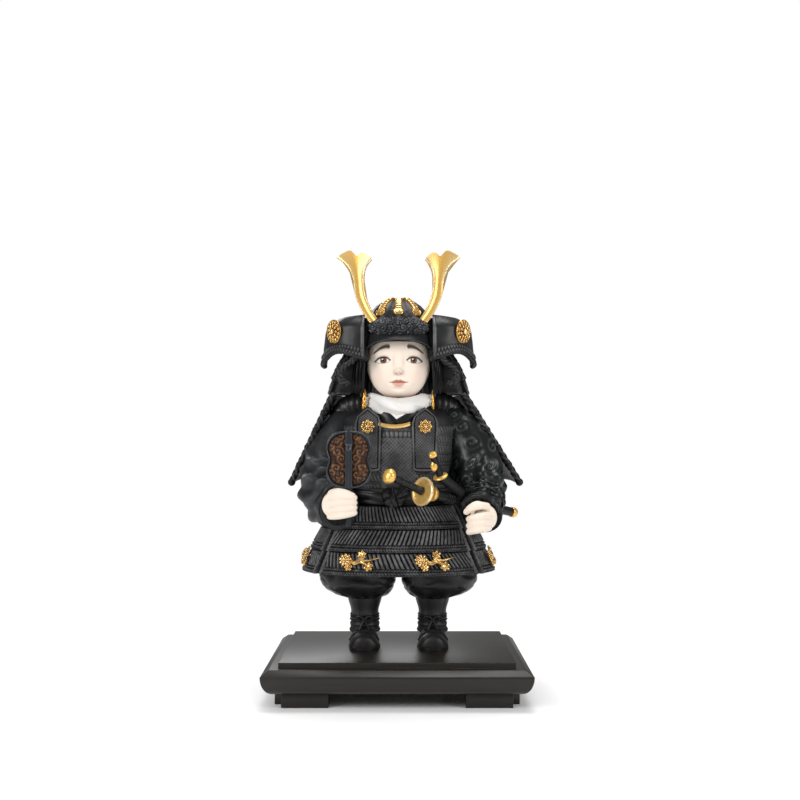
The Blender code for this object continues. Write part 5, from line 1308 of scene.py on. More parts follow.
HEAD_CURVE = curve_through(((0.0, 0.12, 0.2, 0.07), (0.035, 0.42, 0.46, 0.07), (0.1, 0.63, 0.68, 0.05),
                            (0.2, 0.82, 0.85, 0.02), (0.36, 0.975, 0.97, 0.0), (0.55, 0.99, 1.0, 0.0),
                            (0.72, 0.92, 0.95, 0.0), (0.86, 0.72, 0.76, 0.0), (0.96, 0.4, 0.43, 0.0)), 60)
LEVELS = [step / 100 for step in range(16)] + [0.16 + step * 0.0037 for step in range(146)]
LEVELS += [0.71 + step * 0.0125 for step in range(21)]
HEAD_SHAPE = [min(HEAD_CURVE, key=lambda row: abs(row[0] - level)) for level in LEVELS]


def face_height(x, z):
    """How far the face's bumps and hollows stand out at a place."""
    return sum(high * bell(x - bump_x, z - bump_z, wide, tall) for bump_x, bump_z, wide, tall, high in BUMPS)


def make_head():
    bm = bmesh.new()
    colours = bm.verts.layers.float_color.new("paint")
    last = len(HEAD_SHAPE) - 1

    def place(u, v):
        share, wide, deep, forward = HEAD_SHAPE[round(v * last)]
        turn = 2 * math.pi * u
        turn -= 0.62 * math.sin(turn)
        x = HEAD_HALF * wide * math.sin(turn)
        front = math.cos(turn) > 0
        z = HEAD_TALL * share
        lift = face_height(x, z) if front else 0.0
        y = HEAD_Y - 2 * HEAD_DEEP * forward - HEAD_DEEP * deep * math.cos(turn) - lift
        return Vector((MIDDLE + x, y, CHIN + z)), 0.0

    for vert in lay(bm, 224, last, place).values():
        x, z = vert.co.x - MIDDLE, vert.co.z - CHIN
        vert[colours] = (*(paint_face(x, z) if vert.co.y < HEAD_Y else PORCELAIN), 1.0)
    close(bm)
    return adopt(keep(bm, "porcelain_head", FACE, smooth=80), "skin", "head")


make_head()
print("head rows:", len(HEAD_SHAPE))

# %% [markdown]
# ## Scarf and hair
# The scarf is one thick roll of white cloth under the chin. Its folds run slantwise, so the relief turns
# with the roll. The hair is combed straight down, and its strands are long narrow ridges.


# %% Scarf
def make_scarf():
    bm = bmesh.new()
    half = span("scarf", "left", "right")[0] - 6.6
    deep, centre_y = span("scarf", "front", "back")
    deep -= 6.0
    mid = span("scarf", "bottom", "top")[1] - 2.0

    def place(u, v):
        turn, roll = 2 * math.pi * u, 2 * math.pi * v
        front = 0.5 + 0.5 * math.cos(turn)
        out, up = math.cos(roll), math.sin(roll)
        fold = math.sin(3.0 * roll + 2.2 * math.sin(turn * 2 + 0.6)) if out > -0.2 else 0.0
        crease = noise.noise(Vector((math.sin(turn) * 3.4 + up * 2.2, math.cos(turn) * 3.4, up)))
        nick = -max(0.0, 1 - abs(up * 4 + 2.4 * math.sin(turn * 2 + 1)) / 0.5) * max(0.0, out)
        reach = 8.2 * out + 1.1 * fold + 2.2 * crease + 1.6 * nick
        return (Vector((MIDDLE + (half + reach) * math.sin(turn), centre_y - (deep + reach) * math.cos(turn),
                        mid - 1.6 * front + 10.0 * up + 13.0 * (1 - front) ** 0.8)), 0.5 + 0.4 * fold)

    lay(bm, 170, 48, place)
    close(bm)
    return adopt(keep(bm, "white_scarf", LINEN, smooth=70), "linen", "scarf")


make_scarf()
print("scarf made")


# %% Hair
def make_hair():
    bm = bmesh.new()
    length = 53.0

    def place(u, v):
        turn = 2 * math.pi * u
        sine, cosine = math.sin(turn), math.cos(turn)
        strand = 0.5 + 0.5 * math.sin(turn * 46 + 3 * noise.noise(Vector((sine * 3, cosine * 3, v * 2))))
        lock = 0.5 + 0.5 * math.sin(turn * 11 + 1.4 * v)
        ragged = 1.8 * (noise.noise(Vector((turn * 9, 0.5, 0.5))) + 0.6 * lock) * (1 - v) ** 3
        wide, deep = 45.0 - 6.2 * v, 35.0 - 4.1 * v
        out = -1.6 + 0.9 * strand + 1.1 * lock
        return (Vector((MIDDLE + (wide + out) * sine, 11.0 - (deep + out) * cosine,
                        RIM - 0.3 - length * (1 - v) + max(0.0, ragged) * abs(sine))),
                0.75 * strand * (0.4 + 0.6 * lock))

    wrap(bm, 360, 20, place)
    for side, label in SIDES:
        for index in range(9):
            x = MIDDLE + side * (33.5 + index * 1.15)
            y = -23.0 + index * 2.4
            wave = 0.8 * math.sin(index * 2.1)
            rows = ((x - side * 1.5, y + 1.5, RIM + 2, 1.6), (x + wave * 0.4, y - 0.4, RIM - 16, 1.7),
                    (x + side * 1.2 + wave, y - 0.4, RIM - 34, 1.5),
                    (x + side * 0.6 - wave, y, RIM - 50 + index % 3, 0.5))
            tube(bm, curve_through(rows, 8), 8, twist(4, 0.2, 0.3))
    return adopt(keep(bm, "combed_hair", HAIR, smooth=60, merge=False), "hair", "hair")


make_hair()
print("hair made")

# %% [markdown]
# ## Helmet
# A ridged bowl carries a pad of tight curls in front, a smooth visor and three gilt straps that end in
# leaves. The curls are spirals round scattered points, and a k-d tree finds the point nearest to each
# vertex.

# %% Bowl, pad and visor
HELMET_HALF, HELMET_DEEP, HELMET_Y = 36.0, 40.0, -7.0
HELMET_TALL = edge("helmet_bowl", "top") - RIM


def helmet_point(angle, rise, out=0.0):
    """A point of the bowl at an angle from the front and a share of its height."""
    bulge = max(0.0, 1 - rise ** 2.3) ** 0.5
    turn = math.radians(angle)
    return Vector((MIDDLE + (HELMET_HALF * bulge + out * bulge) * math.sin(turn),
                   HELMET_Y - (HELMET_DEEP * bulge + out * bulge) * math.cos(turn),
                   RIM + HELMET_TALL * rise + out * rise))


def make_bowl():
    bm = bmesh.new()

    def place(u, v):
        rise = math.sin(v * math.pi / 2 * 0.985)
        rib = abs(math.cos(12 * math.pi * u)) ** 6
        rivet = max(0.0, math.cos(12 * 2 * math.pi * u) * math.cos(v * 60)) ** 4 * 0.4
        fade = min(1.0, (1 - v) * 8) * min(1.0, v * 12)
        return helmet_point(360 * u, rise, (0.9 * rib + rivet) * fade - 0.4), (0.8 * rib + rivet) * fade + 0.1

    wrap(bm, 240, 48, place)
    return adopt(keep(bm, "ridged_bowl", ARMOUR, smooth=60), "armour", "helmet_bowl")


def make_pad():
    random.seed(7)
    bm = bmesh.new()
    half_x = span("helmet_pad", "left", "right")[0]
    half_y = half_x * 0.68
    half_z, mid = span("helmet_pad", "bottom", "top")
    seeds = []

    def on_pad(turn, lift):
        ring = math.cos(lift) ** 0.7
        return Vector((half_x * ring * math.sin(turn), -half_y * ring * math.cos(turn), half_z * math.sin(lift)))

    for index in range(1500):
        u, v = random.random(), random.uniform(-1, 1)
        spot = on_pad(2 * math.pi * u, v * math.pi / 2)
        if all((spot - other).length > 4.9 for other in seeds):
            seeds.append(spot)
    tree = kdtree.KDTree(len(seeds))
    for index, spot in enumerate(seeds):
        tree.insert(spot, index)
    tree.balance()

    def place(u, v):
        base = on_pad(2 * math.pi * u, (2 * v - 1) * math.pi / 2 * 0.97)
        seed, index, far = tree.find(base)
        offset = base - seed
        angle = math.atan2(offset.z, offset.x + offset.y * 0.6)
        curl = 0.5 + 0.5 * math.cos(2 * math.pi * far / 2.5 + angle * (1 if index % 2 else -1))
        dome = math.exp(-(far / 3.6) ** 2)
        relief = (0.3 + 0.7 * curl) * (0.45 + 0.55 * dome)
        normal = Vector((base.x / half_x, base.y / half_y, base.z / half_z)).normalized()
        base.z -= 3.4 * max(0.0, -base.z / half_z) * max(0.0, 1 - (base.x / half_x) ** 2)
        return Vector((MIDDLE, HELMET_Y - 25.0, mid)) + base + normal * (3.0 * relief - 1.5), relief

    wrap(bm, 220, 76, place)
    return adopt(keep(bm, "curled_pad", FUR, smooth=70), "hair", "helmet_pad")


def make_visor():
    bm = bmesh.new()
    arc, reach, drop = 122.0, 9.0, 7.0

    def face(stand_off, roll):
        def place(u, v):
            angle = arc * (u - 0.5)
            side = abs(2 * u - 1)
            start = helmet_point(angle, 0.16, stand_off)
            far = reach * min(1.0, v * 1.04) * (1 - 0.75 * side ** 2)
            turn = math.radians(angle)
            lip = roll * math.exp(-((v - 0.93) / 0.05) ** 2)
            return (start + Vector((0.4 * far * math.sin(turn), -far * math.cos(turn) - lip,
                                    -(drop + 10.0 * side ** 2) * v * 0.98 + lip * 0.3)), 0.35 + 0.6 * (lip > 0.3))
        return place

    shell(bm, 90, 40, face(1.9, 0.9), face(-0.6, 0.0), 3)
    return adopt(keep(bm, "smooth_visor", PLAIN_ARMOUR, smooth=60), "armour", "helmet_visor")


make_bowl()
make_pad()
make_visor()
print("bowl is", round(HELMET_TALL, 1), "mm high")


# %% Gilt straps
def make_strap(label, angle):
    bm = bmesh.new()
    top, foot = 0.955, 0.555

    def face(stand_off, worked):
        def place(u, v):
            rise = top + (foot - top) * v
            if v < 0.68:
                width = 6.0 + 1.8 * v
                bead = abs(math.sin(v / 0.68 * 5 * math.pi)) ** 0.5
            else:
                leaf = (v - 0.68) / 0.32
                width = 6.6 + 5.2 * math.sin(math.pi * min(1.0, leaf * 1.05)) ** 0.8 * (1 - 0.5 * leaf)
                bead = 0.5 + 0.5 * abs(2 * u - 1) * math.sin(math.pi * leaf)
            across = Vector((math.cos(math.radians(angle)), math.sin(math.radians(angle)), 0))
            dome = (1 - (2 * u - 1) ** 2) ** 0.5
            rim = 0.4 * (abs(2 * u - 1) > 0.72)
            lift = stand_off + worked * (0.5 * dome + 1.1 * bead * dome ** 0.6 + rim)
            return helmet_point(angle, rise, lift) + across * width * (u - 0.5), bead * dome
        return place

    shell(bm, 20, 90, face(0.7, 1.0), face(-1.6, 0.0), 4)
    return adopt(keep(bm, "gilt_strap_" + label, GILT, smooth=50), "gilt", "helmet_strap_" + label)


for label, angle in (("left", -36.0), ("middle", 0.0), ("right", 36.0)):
    make_strap(label, angle)
print("straps: 3")

# %% [markdown]
# ## Horns
# Each gilt horn is a curved blade that is hollowed a little down its middle, like a shallow dish, and it
# opens into a notched fish tail. Two edge curves and the crest between them hold the grid like a sail.

# %% The horns
HORN_REACH, HORN_HEIGHT = 65.4, 75.5
OUTER_EDGE = curve_through(((0.43, 0.0), (0.56, 0.16), (0.68, 0.38), (0.73, 0.62), (0.83, 0.79),
                            (1.0, 0.905)), 16)
INNER_EDGE = curve_through(((0.32, 0.06), (0.43, 0.2), (0.525, 0.4), (0.56, 0.62), (0.53, 0.77),
                            (0.45, 0.87)), 16)
CREST = curve_through(((0.45, 0.87), (0.53, 0.945), (0.62, 0.965), (0.69, 0.925), (0.79, 1.0), (0.9, 0.965),
                       (1.0, 0.905)), 8)


def make_horn(side, label):
    bm = bmesh.new()
    last, wide = len(OUTER_EDGE) - 1, len(CREST) - 1

    def flat(u, v):
        near, far = Vector(INNER_EDGE[round(v * last)]), Vector(OUTER_EDGE[round(v * last)])
        here = near.lerp(far, u)
        crest = Vector(CREST[round(u * wide)]) - Vector(CREST[0]).lerp(Vector(CREST[-1]), u)
        return here + crest * max(0.0, (v - 0.62) / 0.38) ** 2

    def outer(u, v):
        here = flat(u, v)
        valley = abs(2 * u - 1)
        lip = 1 - max(0.0, (valley - 0.86) / 0.14) ** 2 * 0.8
        depth = 0.9 + 1.9 * valley ** 2.0 * lip
        return Vector((side * here.x * HORN_REACH, -depth, here.y * HORN_HEIGHT)), 0.1 + 0.9 * valley ** 1.5

    def inner(u, v):
        here = flat(u, v)
        return Vector((side * here.x * HORN_REACH, 0.6, here.y * HORN_HEIGHT)), 0.3

    shell(bm, wide, last, outer, inner, last)
    set_on(bm, Vector((MIDDLE, HELMET_Y - 32.0, RIM + 18.15)), -12, side * 12)
    return adopt(keep(bm, "gilt_horn_" + label, SATIN_GILT, smooth=50), "gilt", "horn_" + label)


for side, label in SIDES:
    make_horn(side, label)
print("horns: 2")

# %% [markdown]
# ## Neck guard and turned-back wings
# The neck guard flares round the back of the head in four laced rows with a rope along its front edges.
# Its top row turns back beside the face as two leathery wings with a braided rim and a gilt rosette. A
# rolled root joins each wing to the bowl, and a twisted curl hangs inside it.


# %% Neck guard
def guard_point(u, height, out):
    """A point of the guard from one front edge round to the other, its front corners drawn up."""
    beside = abs(2 * u - 1)
    height *= 1 - 0.2 * (max(0.0, beside - 0.82) / 0.18) ** 2
    angle = math.radians(180 + 214.0 * (u - 0.5))
    flare = height ** 0.8
    wide, deep = 78.0 + 72.0 * flare, 78.0 + 50.0 * flare
    wide -= 22.0 * max(0.0, beside - 0.55) / 0.45 * max(0.0, (height - 0.5) / 0.5) ** 2
    return Vector((MIDDLE + (wide / 2 + out) * math.sin(angle),
                   HELMET_Y + 3 - (deep / 2 + out) * math.cos(angle), RIM + 5 - 53.0 * height))


def make_neck_guard():
    bm = bmesh.new()
    rows = 4

    def outer(u, v):
        row, down, step = stepped(v, rows, 1.1, 0.95, 0.6)
        relief = lacing(u * 250, down, 4.6, 1.0, 0.7)
        wander = 0.5 * noise.noise(Vector((u * 14, v * 6, 3)))
        return guard_point(u, v, 2.0 * step - 1.2 + 1.7 * relief + wander), 0.05 + 0.9 * relief

    def inner(u, v):
        down = v * rows % 1.0
        return guard_point(u, v, -3.2 + 0.6 * down), 0.15 + 0.3 * down

    shell(bm, 250, 88, outer, inner, 12)
    for end in (0.0, 1.0):
        tube(bm, [(*guard_point(end, step / 40, 0.4), 2.5) for step in range(41)], 14, twist(3, 9, 1.1))
    hem = [(*guard_point(step / 160, 1.0, 0.6), 1.5) for step in range(161)]
    tube(bm, hem, 10, twist(2, 90, 0.5))
    return adopt(keep(bm, "laced_neck_guard", ARMOUR, smooth=70), "armour", "neck_guard")


make_neck_guard()
print("neck guard made")


# %% Turned-back wings and rosettes
def wing_point(side, angle, share, out=0.0):
    """A point of a wing: an angle from the front round its side, and a share down its height."""
    pull = 1 - 0.3 * max(0.0, 0.35 - share) ** 2 / 0.1225
    flare = 0.92 + 0.1 * share
    turn = math.radians(angle)
    tall = 46.0 - 11.0 * math.exp(-((angle - 38) / 32) ** 2)
    return Vector((MIDDLE + side * (33.0 + (42.0 * pull * flare + out) * math.sin(turn)),
                   -4.0 - (38.0 * pull * flare + out) * math.cos(turn),
                   RIM + 27.5 - tall * share - 2.5 * math.sin(turn)))


WING_ARC = 102


def make_wing(side, label):
    bm = bmesh.new()

    def outer(u, v):
        angle = WING_ARC * u
        worn = 0.5 * noise.noise(Vector((angle * 0.06, v * 4, side * 2)))
        relief, out = 0.3 + 0.5 * worn, worn * 0.8
        if v > 0.8:
            lane = (v - 0.8) / 0.2
            bead = loose_cord(angle / 4.2 + (0.5 if lane < 0.5 else 0.0), 0.15)
            relief = bead * math.sin(math.pi * (lane * 2 % 1.0)) ** 0.5
            out = 0.2 + 1.7 * relief
        border = min(u, 1 - u) / 0.05
        if border < 1:
            relief = 0.5 + 0.5 * math.sin(math.pi * border)
            out += 0.8 * math.sin(math.pi * border)
        return wing_point(side, angle, v, out), relief

    shell(bm, 120, 56, outer, lambda u, v: (wing_point(side, WING_ARC * u, v, -3.4), 0.2), 8)
    rim = [(*wing_point(side, WING_ARC * step / 90, 1.0, -0.6), 2.2) for step in range(91)]
    tube(bm, rim, 14, twist(3, 24, 1.1))
    for angle in (0, WING_ARC):
        ball(bm, wing_point(side, angle, 1.0, -0.6), 3.0)
    start = wing_point(side, 12, 1.0, -1.5)
    offsets = ((0, 0, 1, 2.4), (3, 3, -5, 2.6), (9, 6, -9, 2.6), (15, 9, -15, 2.8), (14, 10, -23, 3.0),
               (7, 9, -27, 2.4))
    curl = curve_through([(start.x + side * out, start.y + back, start.z + up, radius)
                          for out, back, up, radius in offsets], 14)
    tube(bm, curl, 16, twist(3, 8, 1.2))
    root = ((33, -27, -18, 3.5), (32, -28, 4, 5.0), (30, -24, 23, 5.0))
    tube(bm, curve_through([(MIDDLE + side * out, y, RIM + up, radius) for out, y, up, radius in root], 10), 20)
    ball(bm, curl[-1][:3], 2.6)
    return adopt(keep(bm, "turned_wing_" + label, WING_LEATHER, smooth=60), "armour", "turnback_" + label)


def make_rosette(side, label):
    bm = bmesh.new()
    petal_ring(bm, (0, 0, 0), 7.6, 14, (2.3, 1.9, 1.2), 0.8)
    petal_ring(bm, (0, 0, 0), 4.6, 9, (1.9, 1.6, 1.1), 1.7, 0.2)
    rim = [(9.8 * math.sin(math.pi * step / 24), 0.0, 9.8 * math.cos(math.pi * step / 24), 0.8)
           for step in range(49)]
    tube(bm, rim, 10)
    ball(bm, (0, -2.6, 0), 2.6, 0.7)
    disc(bm, 8.6, 1.8, 40, 0.4)
    for vert in bm.verts:
        vert.co.z *= 1.12
    mark_ridges(bm)
    angle = 47.0
    set_on(bm, wing_point(side, angle, 0.42, 0.8), 2, side * angle)
    return adopt(keep(bm, "gilt_rosette_" + label, GILT, merge=False), "gilt", "rosette_" + label)
for side, label in SIDES:
    make_wing(side, label)
    make_rosette(side, label)
print("wings and rosettes: 4")

# %% [markdown]
# ## Sleeves and shoulder guards
# The sleeve by the fan is grey cloth with soft folds. The other one is black brocade, whose swirls are
# raised a little, with slack folds at the elbow. Both end in a rolled cuff that is open round the hand.

# %% The sleeves
ARM = 100.0
SLEEVE_SIZE = 48.0
CUFF = 0.955
SHOULDER = NECK - 13.0
# Each row is out, back and up in shares of the arm, then the width and height in shares of the sleeve.
LEFT_PATH = (
    (0.0, 0.04, -0.01, 0.62, 0.62), (0.1, 0.02, -0.12, 0.8, 0.82), (0.2, -0.03, -0.32, 0.93, 0.98),
    (0.28, -0.11, -0.56, 0.99, 1.14), (0.28, -0.27, -0.76, 1.0, 1.18), (0.18, -0.45, -0.86, 0.86, 1.0),
    (0.12, -0.57, -0.89, 0.8, 0.86))
RIGHT_PATH = (
    (0.0, 0.04, -0.01, 0.66, 0.62), (0.12, 0.02, -0.1, 0.82, 0.82), (0.24, -0.03, -0.27, 0.92, 0.96),
    (0.35, -0.1, -0.51, 0.95, 1.04), (0.39, -0.22, -0.75, 0.88, 0.98), (0.38, -0.36, -0.89, 0.76, 0.86),
    (0.35, -0.45, -0.95, 0.84, 0.88))


def sleeve_frames(side, path):
    """Middles of the sleeve with the two directions across it and its half sizes."""
    rows = curve_through([
        (MIDDLE + side * (44.0 + ARM * out), ARM * back, SHOULDER + ARM * up, SLEEVE_SIZE * wide / 2,
         SLEEVE_SIZE * tall / 2) for out, back, up, wide, tall in path], 16)
    frames = []
    across = Vector((0, -1, 0))
    for index, row in enumerate(rows):
        before, after = rows[max(index - 1, 0)], rows[min(index + 1, len(rows) - 1)]
        ahead = (Vector(after[:3]) - Vector(before[:3])).normalized()
        level = Vector((ahead.y, -ahead.x, 0))
        across = level.normalized() if level.length > 0.05 else across
        frames.append((Vector(row[:3]), across, ahead.cross(across), row[3], row[4]))
    return frames


def swirl(u, v, columns, rows):
    """Brocade scrolls: a spiral in every cell, turned by turns to the left and to the right."""
    a, b = u * columns, v * rows + 0.5 * (int(u * columns) % 2)
    x, y = a % 1.0 - 0.5, b % 1.0 - 0.5
    far = math.hypot(x, y) * 2
    turn = math.atan2(y, x) * (1 if (int(a) + int(b)) % 2 else -1)
    band = 0.5 + 0.5 * math.cos(turn + 11 * far)
    return band ** 1.5 * max(0.0, 1 - far ** 3)


def make_sleeve(side, label, path, finish, slot):
    bm = bmesh.new()
    frames = sleeve_frames(side, path)
    last = len(frames) - 1

    def round_at(index, turn, grow):
        middle, across, rise, wide, tall = frames[index]
        return on_ring(middle, across, rise, wide + grow, tall + grow, turn)

    def place(u, v):
        turn = 2 * math.pi * u
        slack = math.exp(-((v - 0.66) / 0.2) ** 2)
        fold = 2.0 * slack * math.cos(7 * turn + 14 * v + (1.5 if side < 0 else 0.4))
        fold += 1.7 * slack * math.cos(52 * v + 2.0 * math.sin(turn + side))
        fold += 0.9 * noise.noise(Vector((math.cos(turn) * 1.6, math.sin(turn) * 1.6, v * 7 + side)))
        relief = 0.35 + 0.25 * fold / 1.6
        if side < 0:
            for seam in (2.35, 3.0):
                line = math.exp(-((turn - seam - 0.3 * math.sin(4 * v)) / 0.03) ** 2)
                fold += 0.5 * line
                relief += 0.5 * line
        else:
            weave = swirl(u, v, 6, 8)
            fold += 1.1 * weave
            relief = 0.1 + 0.8 * weave
        hem = 0.0
        if v > CUFF:
            hem = math.sin(math.pi * (v - CUFF) / (1 - CUFF))
        elif v > 0.93:
            hem = -0.6
        relief += 0.3 * max(0.0, hem)
        return round_at(round(v * last), turn, fold + 0.9 * hem - 0.6), min(1.0, max(0.0, relief))

    def lining(u, v):
        return round_at(round(last - 6 * v), 2 * math.pi * u, -3.2 if v < 0.99 else -3.6), 0.0

    outer = lay(bm, 130, last, place)
    inner = lay(bm, 130, 6, lining)
    join_rows(bm, 130, (outer, last), (inner, 0))
    close(bm)
    for band in ((CUFF,) if side < 0 else (0.72, 0.79, CUFF)):
        rows = [(*round_at(round(band * last), 2 * math.pi * step / 60, 0.4), 0.8) for step in range(61)]
        tube(bm, rows, 8, twist(2, 26, 0.3))
    return adopt(keep(bm, "worn_sleeve_" + label, finish, smooth=80, merge=False), slot, "sleeve_" + label)



make_sleeve(-1, "left", LEFT_PATH, GREY_CLOTH, "cloth_grey")
make_sleeve(1, "right", RIGHT_PATH, BROCADE, "cloth_black")
print("sleeves: 2")

# %% [markdown]
# The shoulder guards are boards of five laced rows. They hang from the shoulders behind the arms, so
# from the front only their ribbed edges show, with a knot at the end of each row.


# %% Shoulder guards
def shoulder_board(side, spread):
    """The face of a board that hangs from the shoulder and leans out by some mm at its foot."""
    top = NECK + 7.0
    front_top = Vector((MIDDLE + side * 67, -6, top))
    back_top = Vector((MIDDLE + side * 44, 38, top - 2))
    front_low = Vector((MIDDLE + side * (67 + spread), -8, top - 86))
    back_low = Vector((MIDDLE + side * (67 + spread / 2), 50, top - 82))
    outward = Vector((side * 0.8, 0.5, 0.25))

    def point(u, v, out):
        flat = front_top.lerp(front_low, v).lerp(back_top.lerp(back_low, v), u)
        return flat + outward * (7.0 * math.sin(math.pi * u) + out)
    return point


def make_shoulder_guard(side, label, spread):
    bm = bmesh.new()
    point = shoulder_board(side, spread)
    rows = 5

    def outer(u, v):
        row, down, step = stepped(v, rows, 1.1, 0.93, 0.6)
        relief = lacing(u * 62, down, 4.4, 1.0, 0.7)
        if min(u, 1 - u) < 0.05:
            relief = 0.5 + 0.5 * abs(math.cos(v * 120))
        return point(u, v, 1.8 * step - 0.6 + 1.0 * relief), 0.2 + 0.75 * relief

    def inner(u, v):
        down = v * rows % 1.0
        relief = 0.5 + 0.5 * math.cos(2 * math.pi * u * 26)
        return point(u, v, -4.0 + 0.9 * down - 0.4 * relief), 0.15 + 0.5 * down * relief

    shell(bm, 90, 110, outer, inner, 30)
    for end in (0.0, 1.0):
        tube(bm, [(*point(end, step / 80, -1.2), 2.9) for step in range(81)], 16, twist(3, 13, 1.4))
    tube(bm, [(*point(step / 40, 1.0, -1.2), 2.4) for step in range(41)], 12, twist(3, 16, 0.9))
    for row in range(1, rows + 1):
        ball(bm, point(0.0, row / rows, -1.2) + Vector((0, -1.0, 0)), 3.9, 0.9)
    return adopt(keep(bm, "shoulder_board_" + label, ARMOUR, smooth=70, merge=False), "armour",
                 "shoulder_guard_" + label)


make_shoulder_guard(-1, "left", 40.0)
make_shoulder_guard(1, "right", 53.8)
print("shoulder guards: 2")

# %% [markdown]
# ## Hands
# Each hand is a soft fist: a palm, four curled fingers side by side and a thumb. The pieces are blended
# into one skin by a voxel remesh, so the knuckles run into each other as in moulded porcelain.

# %% The hands
HAND = 27.0


def blend(piece):
    """Melts the parts of a piece into one skin and softens it."""
    remesh = piece.modifiers.new("blend", "REMESH")
    remesh.mode = "VOXEL"
    remesh.voxel_size = 0.64 * MM
    remesh.use_smooth_shade = True
    soften = piece.modifiers.new("soften", "SMOOTH")
    soften.factor = 0.5
    soften.iterations = 2
    depsgraph = bpy.context.evaluated_depsgraph_get()
    finished = bpy.data.meshes.new_from_object(piece.evaluated_get(depsgraph))
    piece.modifiers.clear()
    piece.data = finished


def make_hand(name, node, middle, side, fingers, thumb):
    """Fingers and thumb are rows of (across, forward, up, radius) in shares of the hand."""
    bm = bmesh.new()
    for vert in bmesh.ops.create_icosphere(bm, subdivisions=4, radius=1)["verts"]:
        vert.co = Vector((vert.co.x * HAND * 0.42 - side * HAND * 0.16, vert.co.y * HAND * 0.31,
                          vert.co.z * HAND * 0.46))
    for rows in (*fingers, thumb):
        path = [(side * out * HAND, -forward * HAND, up * HAND, thick * HAND) for out, forward, up, thick in rows]
        tube(bm, curve_through(path, 6), 16)
        for end in (path[0], path[-1]):
            ball(bm, end[:3], end[3], 1.0)
    wrist = ((side * 0.04 * HAND, 0.15 * HAND, 0.0, 0.33 * HAND),
             (side * -0.07 * HAND, 0.75 * HAND, 0.13 * HAND, 0.31 * HAND))
    tube(bm, curve_through(wrist, 6), 20)
    bmesh.ops.translate(bm, vec=middle, verts=bm.verts)
    piece = keep(bm, name, SKIN, smooth=80, merge=False)
    blend(piece)
    return adopt(piece, "skin", node)


FIST = [[(-0.28, 0.2, high, 0.122), (0.0, 0.42, high * 0.96, 0.118), (0.3, 0.46, high * 0.86 + 0.01, 0.112),
         (0.56, 0.34, high * 0.74 + 0.02, 0.1), (0.54, 0.14, high * 0.7 + 0.02, 0.09)]
        for high in (0.34, 0.1, -0.14, -0.38)]
FIST_THUMB = [(-0.22, 0.16, 0.38, 0.16), (0.0, 0.34, 0.46, 0.145), (0.28, 0.42, 0.42, 0.13),
              (0.5, 0.36, 0.34, 0.11)]
CURL = [[(-0.26, 0.22, high + 0.02, 0.135), (-0.02, 0.46, high, 0.142), (0.24, 0.5, high - 0.05, 0.135),
         (0.42, 0.36, high - 0.11, 0.12), (0.36, 0.2, high - 0.13, 0.11)] for high in (0.08, -0.14, -0.36)]
CURL.append([(-0.2, 0.2, 0.4, 0.14), (0.06, 0.44, 0.44, 0.138), (0.34, 0.46, 0.36, 0.128),
             (0.52, 0.34, 0.22, 0.115)])
CURL_THUMB = [(-0.16, 0.02, 0.36, 0.14), (0.12, 0.12, 0.46, 0.135), (0.36, 0.2, 0.36, 0.125),
              (0.5, 0.3, 0.24, 0.11)]
make_hand("closed_hand", "hand_fan", Vector((-55.0, -73.0, WAIST - 1.0)), 1, FIST, FIST_THUMB)
make_hand("curled_hand", "hand_free", Vector((MIDDLE + 78.0, -57.0, WAIST - 14.0)), -1, CURL, CURL_THUMB)
print("hands: 2")

# %% [markdown]
# ## Fan and swords
# The war fan has a waisted steel frame, two carved brown panels with scrolls, and a steel rib that ends in
# a ring. The swords are turned pieces on slanting lines, with gilt fittings and wrapped hilts.

# %% The fan
FAN_X, FAN_Y = -45.0, -79.0
FAN_Z = WAIST + 41.5
FAN_HALF = (22.6, 26.6)


def fan_outline(turn, inset):
    """The fan's edge: a squared ellipse with a waist, at an angle from the top."""
    power = (abs(math.sin(turn)) ** 2.8 + abs(math.cos(turn)) ** 2.8) ** (-1 / 2.8)
    lean = 1 - 0.18 * math.exp(-(math.cos(turn) / 0.3) ** 2)
    return ((FAN_HALF[0] - inset) * math.sin(turn) * power * lean,
            (FAN_HALF[1] - inset) * math.cos(turn) * power)


def make_fan_frame():
    bm = bmesh.new()
    section = ((0.0, 0.3), (0.2, -0.4), (0.9, -0.8), (1.7, -0.4), (2.0, 0.4), (2.6, 3.6), (0.0, 3.6))

    def place(u, v):
        inset, depth = section[round(v * len(section)) % len(section)]
        x, z = fan_outline(2 * math.pi * u, inset)
        return Vector((FAN_X + x, FAN_Y - 4.0 + depth, FAN_Z + z)), 0.7 if depth < 0 else 0.3

    wrap(bm, 120, len(section), place)
    return adopt(keep(bm, "fan_rim", FAN_STEEL, smooth=60), "steel", "fan_frame")


# Each scroll is its place, x and z, and the way it turns.
SCROLLS = ((11.5, 17.0, 1), (10.2, 7.5, -1), (11.5, -8.0, 1), (10.5, -18.0, -1), (6.6, 22.0, -1),
           (6.4, 1.0, 1), (6.8, -13.5, -1), (16.0, 12.0, -1), (15.5, -13.0, 1))


def scroll_field(x, z):
    """Carved scrolls: spirals round a few points, mirrored on both panels."""
    best, relief = 1e9, 0.0
    for spot_x, spot_z, way in SCROLLS:
        dx, dz = abs(x) - spot_x, z - spot_z
        far = math.hypot(dx, dz)
        if far < best:
            best = far
            relief = 0.5 + 0.5 * math.cos(math.atan2(dz, dx) * way + far * 1.55)
    rough = 0.5 + 0.5 * noise.noise(Vector((x * 0.32, z * 0.32, 5)))
    return (0.65 * relief ** 1.4 + 0.7 * rough ** 2) * max(0.0, 1 - (best / 8.5) ** 4)


